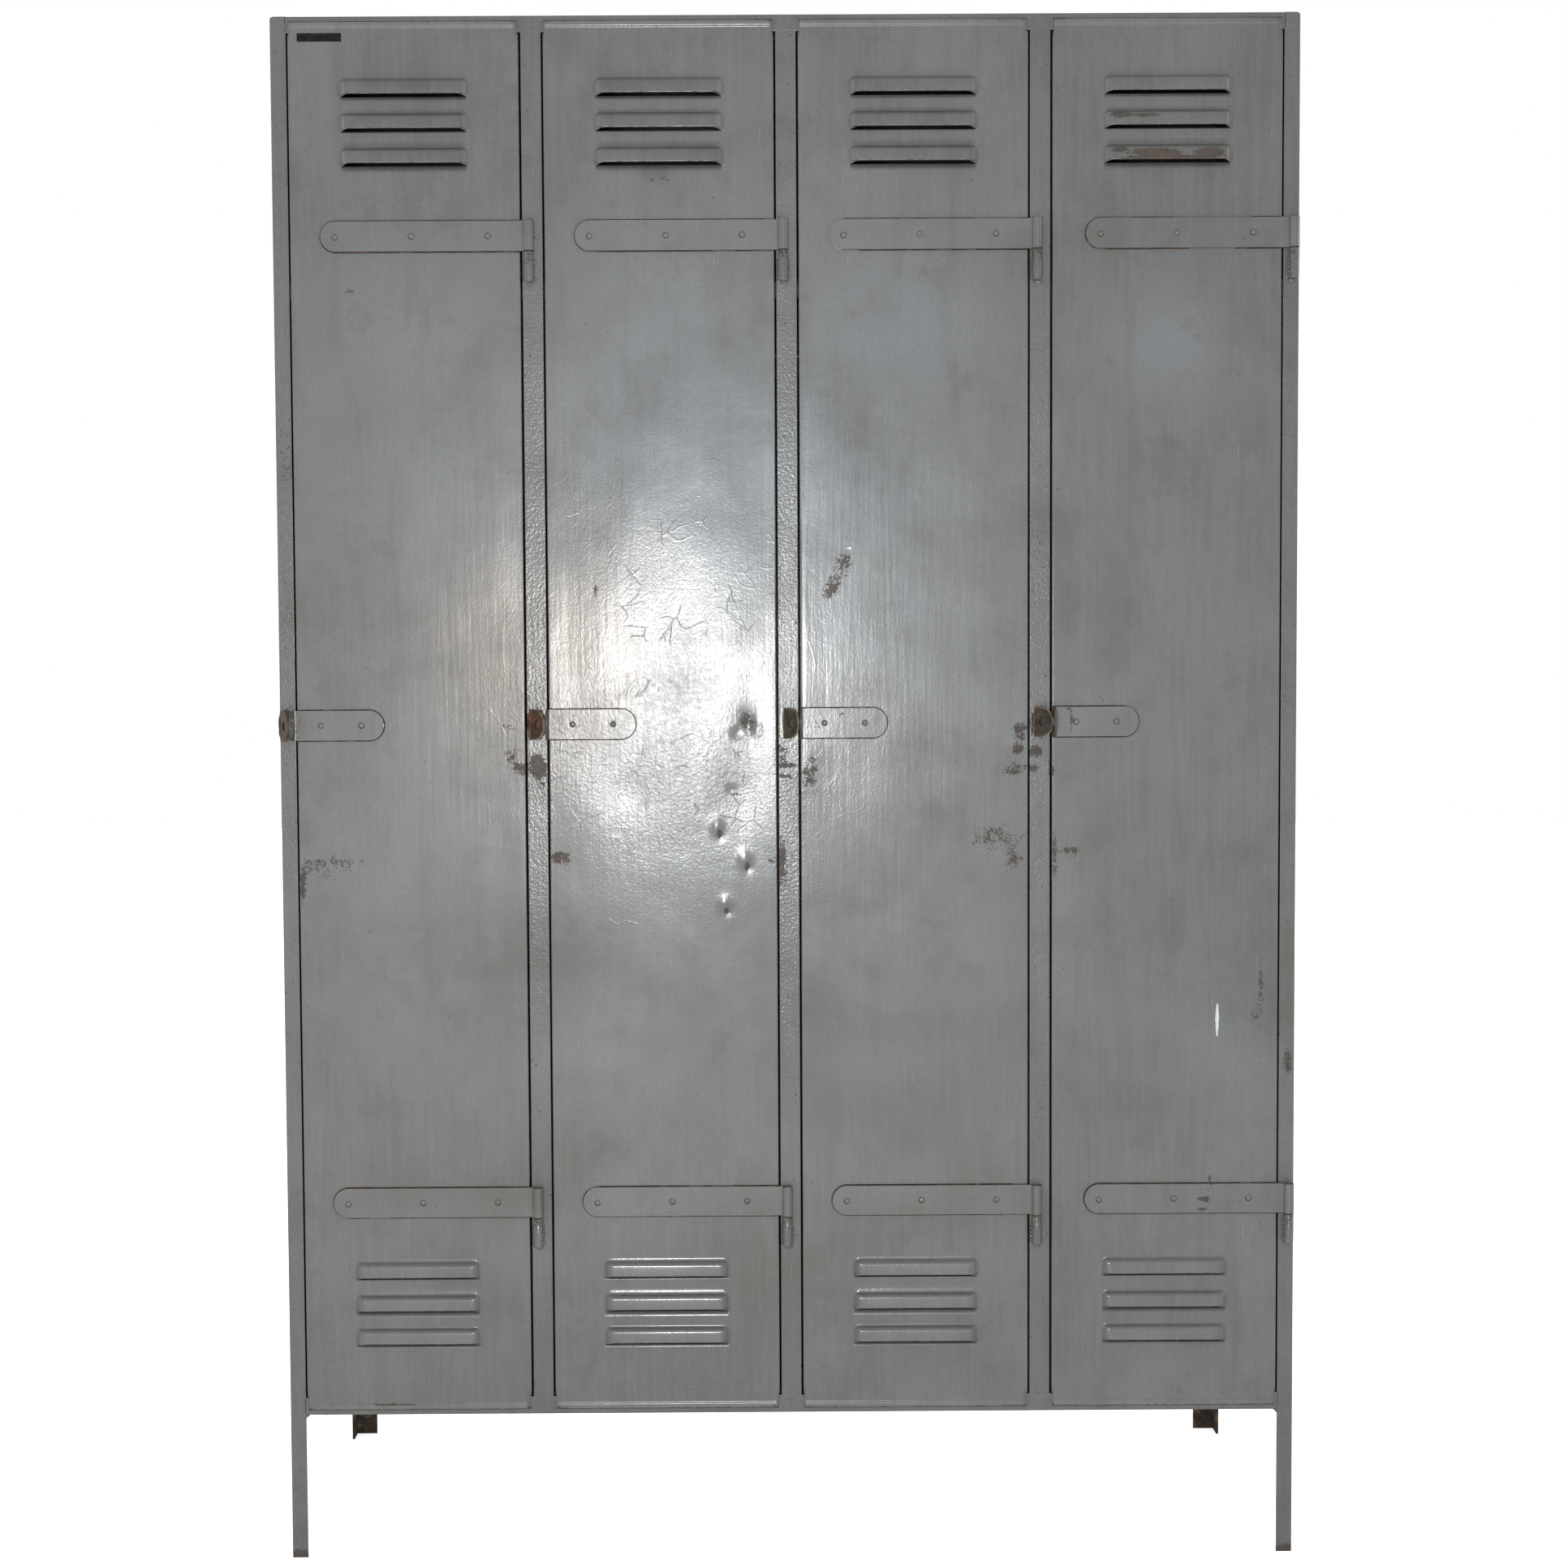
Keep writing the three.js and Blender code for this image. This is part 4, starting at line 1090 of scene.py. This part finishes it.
STRAP_HALF = 17.5 * MM
KNUCKLE_MIDDLE = 4.9 * MM
HINGE_RIVETS = (17 * MM, 105 * MM, 193 * MM)
HASP_RIVETS = (28 * MM, 75 * MM)
LUG_HALF = 18 * MM
LUG_LENGTH = 28 * MM
LUG_FULL = 2.3
HASP_NOSE = 20 * MM
LATCH_NOSE = 21 * MM
RIM_WEAR_REACH = 0.8 * MM


def strap_wear(z):
    """Rust along a strap's rims. z is the strap's middle."""

    def wear(points):
        return fade(STRAP_HALF - np.abs(points[:, 2] - z), RIM_WEAR_REACH) * 0.52

    return wear


# A rivet's head, hammered over, as (radius, how far out) in millimetres from the middle to the rim.
RIVET_PROFILE = [(0.0, 1.9), (0.8, 1.83), (1.6, 1.58), (2.4, 1.16), (3.0, 0.62), (3.35, 0.10), (3.4, -0.5)]
RIVET_SIDES = 18
DARK_RING_SIDES = 24
DARK_RING_RADIUS = 3.75 * MM


def rivet(name, x, z, body, seed):
    """A rivet's head with an uneven rim, in a dark ring set a little low and to the left."""
    sides = RIVET_SIDES
    vertices = [(x, STRAP_FACE - RIVET_PROFILE[0][1] * MM, z)]
    for radius, out in RIVET_PROFILE[1:]:
        for s in range(sides):
            a = 2 * math.pi * s / sides
            place = Vector((math.cos(a) * 1.3 + seed, math.sin(a) * 1.3, seed * 0.31))
            reach = radius * MM * (1 + 0.07 * noise.noise(place))
            vertices.append((x + reach * math.cos(a), STRAP_FACE - out * MM, z + reach * math.sin(a)))
    faces = [(0, 1 + s, 1 + (s + 1) % sides) for s in range(sides)]
    for ring in range(len(RIVET_PROFILE) - 2):
        a, b = 1 + ring * sides, 1 + (ring + 1) * sides
        faces += [(a + s, b + s, b + (s + 1) % sides, a + (s + 1) % sides) for s in range(sides)]
    last = 1 + (len(RIVET_PROFILE) - 2) * sides
    faces.append(tuple(last + s for s in reversed(range(sides))))
    facing_out(new_piece(name, vertices, faces, rivet_paint, body))
    turn = [2 * math.pi * s / DARK_RING_SIDES for s in range(DARK_RING_SIDES)]
    ring_x, ring_z = x - 0.15 * MM, z - 0.3 * MM
    rim = [(ring_x + DARK_RING_RADIUS * math.cos(a), ring_z + DARK_RING_RADIUS * math.sin(a)) for a in turn]
    flat_plate(f"{name}_dirt", rim, STRAP_FACE + 0.3 * MM, STRAP_FACE - 0.09 * MM, dirt_and_shadow, body)


def flat_plate(name, outline, back, front, material, body):
    """A thin plate with that (x, z) outline, between two depths."""
    vertices = [(x, y, z) for y in (back, front) for x, z in outline]
    facing_out(new_piece(name, vertices, ring_faces(len(outline), 2), material, body))


SEAM = 1.15 * MM


def seam(name, x0, x1, z, round_side, body):
    """The dark line round a strap, where it meets the door: dirt and old paint, and painted shade in the crevice.
    """
    outer = STRAP_HALF + SEAM
    angles = [math.pi / 2 + math.pi * s / 22 for s in range(23)]
    arc = [(outer * math.cos(a), outer * math.sin(a)) for a in angles]
    if round_side < 0:
        outline = [(x0 + STRAP_HALF + dx, z + dz) for dx, dz in arc] + [(x1, z - outer), (x1, z + outer)]
    else:
        outline = [(x1 - STRAP_HALF - dx, z + dz) for dx, dz in arc] + [(x0, z - outer), (x0, z + outer)]
    flat_plate(name, outline, FACE + 0.2 * MM, FACE - 0.42 * MM, dirt_and_shadow, body)


def hinge_axis(number):
    """Where a door's hinge axis stands, as (x, y)."""
    joint = next(j for j in frame["joints"] if j["name"] == f"door_{number}_hinge")
    return joint["pos_m"][0], joint["pos_m"][1]


ROLL_START = 7.2 * MM
ROLL_DENSE = 8 * MM
# A little unevenness in how the rivets of each strap are set.
RIVET_DROPS = (-0.6 * MM, 0.2 * MM, 0.3 * MM)


def hinge_strap(number, level):
    """A strap rolled round its pin from behind, with the roll's edge closing on the strap's face."""
    node = f"hinge_strap_{number}_{level}"
    low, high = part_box(node)
    z = (low.z + high.z) / 2
    axis_x, axis_y = hinge_axis(number)
    roll = [math.radians(a) for a in range(148, -196, -8)]
    curl = [(axis_x + KNUCKLE_MIDDLE * math.cos(a), axis_y + KNUCKLE_MIDDLE * math.sin(a)) for a in roll]
    points = [(low.x, STRAP_MIDDLE), (axis_x - ROLL_START, STRAP_MIDDLE)] + curl
    stations = along_path(points, 4 * MM)[1]
    fine_path, fine_stations = along_path(points, 0.8 * MM)
    turn = axis_x - ROLL_DENSE - low.x
    wanted = denser_start(stations[stations < turn], STRAP_HALF)
    wanted = np.concatenate([wanted, fine_stations[fine_stations >= turn]])
    path = at(fine_path, fine_stations, wanted)
    body = f"door_{number}"
    piece = strip(f"strap_{number}_{level}", path, strap_halves(wanted), z, strap_paint, body,
                  [node], strap_wear(z))
    bevel(piece, 0.7 * MM)
    seam(f"seam_{number}_{level}", low.x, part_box(f"door_panel_{number}")[1].x - 1 * MM, z, -1, body)
    for i, (from_tip, drop) in enumerate(zip(HINGE_RIVETS, RIVET_DROPS)):
        rivet(f"rivet_{number}_{level}_{i + 1}", low.x + from_tip, z + drop, body, number * 5 + i)


PIN_TIP_RISE = 33.6 * MM
PIN_SIDES = 28
# Half sizes of the welds beside and below a knuckle.
SIDE_WELD = (2.2 * MM, 2.9 * MM, 12 * MM)
FOOT_WELD = (4.6 * MM, 1.7 * MM, 3.0 * MM)


def hinge_pin(number, level):
    """The knuckle under the strap, its pin, and the weld that holds it to the frame."""
    node = f"hinge_pin_{number}_{level}"
    low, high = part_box(node)
    axis_x, axis_y = hinge_axis(number)
    top = high.z - PIN_TIP_RISE
    foot = low.z + 1 * MM
    rings = [(4.7, foot), (5.5, foot + 1 * MM), (5.6, foot + 6 * MM), (5.7, top - 1 * MM),
             (5.1, top), (3.4, top), (3.4, high.z - 1 * MM), (2.4, high.z)]
    turn = [2 * math.pi * s / PIN_SIDES for s in range(PIN_SIDES)]
    vertices = [(axis_x + r * MM * math.cos(a), axis_y + r * MM * math.sin(a), z)
                for r, z in rings for a in turn]

    def knuckle_wear(points):
        return 0.20 + 0.40 * fade(np.abs(points[:, 2] - top), 1.2 * MM)

    faces = ring_faces(PIN_SIDES, len(rings))
    facing_out(new_piece(f"knuckle_{number}_{level}", vertices, faces, frame_paint, "cabinet",
                         [node], knuckle_wear))
    middle = (foot + top) / 2 - 4 * MM
    seed = number * 3 + len(level)
    # The last pin's right weld lies nearer, so that it stays on the stile.
    sides = ((-1, "left", -5.4 * MM), (1, "right", 3.2 * MM if number == DOORS[-1] else 5.4 * MM))
    for side, name, x in sides:
        weld(f"weld_{number}_{level}_{name}", (axis_x + x, FRONT, middle), SIDE_WELD, seed + side)
    foot_x = axis_x + (-1.5 if number == DOORS[-1] else 1.5) * MM
    weld(f"weld_{number}_{level}_foot", (foot_x, FRONT, foot - 1.5 * MM), FOOT_WELD, seed + 5)


DRILL_DEPTH = 20 * MM


def drill(piece, centre, radius, direction):
    """Cuts a round hole right through a piece. direction is the hole's axis."""
    turn = Vector(direction).to_track_quat("Z", "Y").to_matrix().to_4x4()
    mesh = bpy.data.meshes.new("drill_mesh")
    bm = bmesh.new()
    bmesh.ops.create_cone(bm, cap_ends=True, segments=36, radius1=radius, radius2=radius, depth=DRILL_DEPTH,
                          matrix=Matrix.Translation(centre) @ turn)
    bm.to_mesh(mesh)
    bm.free()
    cutter = bpy.data.objects.new("drill", mesh)
    bpy.context.scene.collection.objects.link(cutter)
    modifier = piece.modifiers.new("hole", "BOOLEAN")
    modifier.operation = "DIFFERENCE"
    modifier.solver = "EXACT"
    modifier.object = cutter
    bpy.context.view_layer.update()
    cut = bpy.data.meshes.new_from_object(piece.evaluated_get(bpy.context.evaluated_depsgraph_get()))
    piece.modifiers.clear()
    piece.data = cut
    bpy.data.objects.remove(cutter)


BEND_STEPS = 8


def arc_path(start, corner, end, radius):
    """Two straight runs joined by a bend of that radius, as a list of points."""
    a, c, b = (np.array(p, float) for p in (start, corner, end))
    u, v = (a - c) / np.linalg.norm(a - c), (b - c) / np.linalg.norm(b - c)
    reach = radius / math.tan(math.acos(np.clip(u @ v, -1, 1)) / 2)
    p, q = c + u * reach, c + v * reach
    shares = np.linspace(0, 1, BEND_STEPS + 1)
    bend = [tuple((1 - t) ** 2 * p + 2 * t * (1 - t) * c + t**2 * q) for t in shares]
    return [start] + bend + [end]


# The padlock hole, from the strap's face.
HOLE_OUT = 14.56 * MM
HOLE_RADIUS = 5.5 * MM
# Door by door: how far left of the door its hasp bends and its latch lug is rooted, and the lug's lean in
# degrees.
HASP_BENDS = (5.3 * MM, 2.5 * MM, 1.2 * MM, -0.2 * MM)
LATCH_ROOTS = (20.3 * MM, 23.2 * MM, 20.5 * MM, 22.5 * MM)
LATCH_LEANS = (26, 40, 36.5, 47)
# The last two latch lugs have a foot that turns aside along the frame, this far.
LATCH_FEET = {3: 4.0 * MM, 4: 2.0 * MM}


def hasp(number):
    """The door's hasp: riveted on, and bent forward into a lug at the door's edge."""
    node = f"hasp_{number}"
    low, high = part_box(node)
    z = (low.z + high.z) / 2
    door_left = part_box(f"door_panel_{number}")[0].x
    bend = door_left - HASP_BENDS[number - 1] + STRAP_THICK / 2
    points = arc_path((bend, low.y + 0.3 * MM), (bend, STRAP_MIDDLE), (high.x, STRAP_MIDDLE), 2.4 * MM)
    path, stations = along_path(points, 0.7 * MM)
    from_end = stations[-1] - stations
    tail = np.clip(from_end / STRAP_HALF, 0, 1)
    half = np.minimum(lug_halves(stations, STRAP_HALF, HASP_NOSE), STRAP_HALF * np.sqrt(1 - (1 - tail) ** 2))
    # Every fourth station is enough along the straight middle.
    last = len(stations) - 1
    keep = [i for i in range(last + 1)
            if i in (0, last) or i % 4 == 0 or stations[i] < 34 * MM or from_end[i] < STRAP_HALF]
    body = f"door_{number}"
    piece = strip(f"hasp_plate_{number}", path[keep], np.maximum(half, 0.4 * MM)[keep], z, strap_paint, body,
                  [node], hasp_wear(z, door_left))
    drill(piece, (bend, STRAP_FACE + 1 * MM - HOLE_OUT, z), HOLE_RADIUS, (1, 0, 0))
    bevel(piece, 0.7 * MM)
    seam(f"seam_{number}_hasp", door_left + 1 * MM, high.x, z, 1, body)
    for i, from_edge in enumerate(HASP_RIVETS):
        rivet(f"rivet_{number}_hasp_{i + 1}", door_left + from_edge, z + 0.3 * MM, body, number * 7 + i)


def hasp_wear(z, door_left):
    """Rust along a hasp's rims, all over its lug, and at the lug's root."""

    def wear(points):
        x, y, height = points.T
        rim = fade(STRAP_HALF - np.abs(height - z), RIM_WEAR_REACH) * 0.50
        lug = np.clip((FACE - 3 * MM - y) / (3 * MM), 0, 1) * 0.44
        return np.maximum.reduce([rim, lug, bell(x - door_left, 6 * MM) * 0.30])

    return wear


def latch_lug(number):
    """The frame's lug: a foot welded to the frame and a plate that use has bent over towards the door."""
    node = f"latch_lug_{number}"
    low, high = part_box(node)
    z = (low.z + high.z) / 2
    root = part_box(f"door_panel_{number}")[0].x - LATCH_ROOTS[number - 1]
    lean = math.radians(LATCH_LEANS[number - 1])
    ahead = np.array([math.sin(lean), -math.cos(lean)])
    across = np.array([math.cos(lean), math.sin(lean)])
    base = np.array([root, FRONT - 2.3 * MM]) + across * 1.25 * MM
    tip = base + ahead * LUG_LENGTH
    points = [tuple(tip), tuple(base)]
    if number in LATCH_FEET:
        foot_end = (root - LATCH_FEET[number], FRONT - 1.5 * MM)
        points = arc_path(tuple(tip), tuple(base + ahead * 0.2 * MM), foot_end, 1.2 * MM)
    path, stations = along_path(points, 0.8 * MM)
    half = np.maximum(lug_halves(stations, LUG_HALF, LATCH_NOSE), 0.5 * MM)

    # Paler at the rim and at the bend by the root: worn metal, and a painted highlight on them.
    def rubbed_and_highlit_rim(points):
        along = (points[:, :2] - base) @ ahead
        width = lug_halves(LUG_LENGTH - along, LUG_HALF, LATCH_NOSE)
        inset = np.minimum(width - np.abs(points[:, 2] - z), LUG_LENGTH - along)
        return np.maximum(fade(np.maximum(inset, 0), 0.55 * MM), bell(along - 0.8 * MM, 0.7 * MM))

    brown = latch_browns[number - 1]
    piece = strip(f"latch_plate_{number}", path, half, z, brown, "cabinet", [node],
                  rub_and_highlight=rubbed_and_highlit_rim)
    hole = base + ahead * HOLE_OUT
    drill(piece, (hole[0], hole[1], z), HOLE_RADIUS, (across[0], across[1], 0))
    bevel(piece, 0.5 * MM)
    foot_width = 2.8 * MM if number == 1 else 3.6 * MM
    bm = bmesh.new()
    seed = number + 11
    add_lump(bm, (root + 1.2 * MM, FRONT - 1.0 * MM, z), (foot_width, 2.4 * MM, 16.5 * MM), 0.28, 1.9,
             (seed, seed * 0.7, 1.3))
    cabinet_piece(f"latch_weld_{number}", bm, interior_paint if number == 3 else brown)


# Small pieces.


def thin_plate(name, x0, x1, z0, z1, back, front, material, body, extra_wear=None):
    """A thin plate on the front, with rounded corners and a crowned rim."""
    outline = rounded([(x0, z0), (x1, z0), (x1, z1), (x0, z1)], [0.6 * MM] * 4)
    middle = np.array(outline).mean(0)
    levels = [(back, 0.0), (front + 0.15 * MM, 0.0), (front, 0.2 * MM)]
    vertices = []
    for y, inset in levels:
        for x, z in outline:
            away = np.array((x, z)) - middle
            pulled = middle + away * (1 - inset / max(np.linalg.norm(away), 1e-6))
            vertices.append((pulled[0], y, pulled[1]))
    faces = ring_faces(len(outline), len(levels))
    facing_out(new_piece(name, vertices, faces, material, body, extra_wear=extra_wear))


def label_and_patch():
    """A blank tape label on door 1, and a patch on the left stile."""
    door_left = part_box("door_panel_1")[0].x
    thin_plate("blank_label", door_left + 11 * MM, door_left + 62 * MM, 1771 * MM, 1780.5 * MM,
               FACE + 0.2 * MM, FACE - 0.35 * MM, black_tape, "door_1")
    thin_plate("stile_patch", -HALF + 0.6 * MM, -HALF + 17.2 * MM, 1271 * MM, 1324 * MM,
               FRONT + 0.2 * MM, FRONT - 0.9 * MM, frame_paint, "cabinet",
               lambda points: np.full(len(points), 0.30))


# Carried-over CAD nodes.


def paint_cad_nodes():
    """Gives each CAD node that still shows its material."""
    chosen = {"interior_paint": interior_paint, "panel_paint": panel_paint, "frame_paint": panel_paint,
              "bare_tube": tube_steel}
    slots = {s["node"]: s["material_slot"] for s in frame["record"]["subparts"]}
    for name, node in frame["nodes"].items():
        if node.hide_render:
            continue
        material = leg_paint if name.startswith("rear_") else chosen[slots[name]]
        node.data.materials.clear()
        node.data.materials.append(material)


# Stage.


def floor():
    mesh = bpy.data.meshes.new("floor")
    corners = [(x * FLOOR_HALF, y * FLOOR_HALF, 0) for x, y in ((-1, -1), (1, -1), (1, 1), (-1, 1))]
    mesh.from_pydata(corners, [], [(0, 1, 2, 3)])
    mesh.materials.append(pale_floor("floor_white"))
    ground = bpy.data.objects.new("floor", mesh)
    bpy.context.scene.collection.objects.link(ground)


def lamp(name, location, target, width, power, color):
    data = bpy.data.lights.new(name, "AREA")
    data.shape = "DISK"
    data.size = width
    data.energy = power
    data.color = color
    light = bpy.data.objects.new(name, data)
    light.location = location
    light.rotation_mode = "QUATERNION"
    light.rotation_quaternion = (Vector(target) - Vector(location)).to_track_quat("-Z", "Y")
    bpy.context.scene.collection.objects.link(light)


def soft_sun(name, heading):
    data = bpy.data.lights.new(name, "SUN")
    data.energy = SUN_STRENGTH
    data.angle = math.radians(SUN_ANGLE)
    light = bpy.data.objects.new(name, data)
    light.rotation_mode = "QUATERNION"
    light.rotation_quaternion = Vector(heading).to_track_quat("-Z", "Y")
    bpy.context.scene.collection.objects.link(light)


def studio():
    """White room light, which the camera sees brighter than it shines, and the lamps and suns."""
    world = bpy.data.worlds.new("studio")
    world.use_nodes = True
    background = world.node_tree.nodes["Background"]
    background.inputs["Color"].default_value = (1, 1, 1, 1)
    paths = world.node_tree.nodes.new("ShaderNodeLightPath")
    strength = world.node_tree.nodes.new("ShaderNodeMix")
    strength.inputs["A"].default_value = AMBIENT
    strength.inputs["B"].default_value = 1.0
    world.node_tree.links.new(paths.outputs["Is Camera Ray"], strength.inputs["Factor"])
    world.node_tree.links.new(strength.outputs["Result"], background.inputs["Strength"])
    scene = bpy.context.scene
    scene.world = world
    scene.view_settings.view_transform = "Standard"
    for settings in LAMPS:
        lamp(*settings)
    for name, heading in SUNS:
        soft_sun(name, heading)


def camera():
    data = bpy.data.cameras.new("camera")
    data.lens = CAMERA_LENS
    data.sensor_width = CAMERA_SENSOR
    data.shift_x, data.shift_y = CAMERA_SHIFT
    data.clip_start, data.clip_end = 0.05, 100
    view = bpy.data.objects.new("camera", data)
    level = math.cos(CAMERA_PITCH)
    forward = Vector((math.sin(CAMERA_YAW) * level, math.cos(CAMERA_YAW) * level, math.sin(CAMERA_PITCH)))
    right = forward.cross(Vector((0, 0, 1))).normalized()
    up = right.cross(forward)
    cosine, sine = math.cos(CAMERA_ROLL), math.sin(CAMERA_ROLL)
    rolled_right = right * cosine + up * sine
    rolled_up = up * cosine - right * sine
    view.matrix_world = Matrix((
        (rolled_right.x, rolled_up.x, -forward.x, CAMERA_AT[0]),
        (rolled_right.y, rolled_up.y, -forward.y, CAMERA_AT[1]),
        (rolled_right.z, rolled_up.z, -forward.z, CAMERA_AT[2]),
        (0, 0, 0, 1),
    ))
    bpy.context.scene.collection.objects.link(view)
    bpy.context.scene.camera = view


camera()
studio()
floor()
for side_name, side_sign in (("left", -1), ("right", 1)):
    front_stile(side_name, side_sign)
front_rail("top", 1)
front_rail("bottom", -1)
for mullion_number in (1, 2, 3):
    mullion(mullion_number)
for door_number in DOORS:
    door_panel(door_number)
    for strap_level in LEVELS:
        hinge_strap(door_number, strap_level)
        hinge_pin(door_number, strap_level)
    hasp(door_number)
    latch_lug(door_number)
label_and_patch()
paint_cad_nodes()
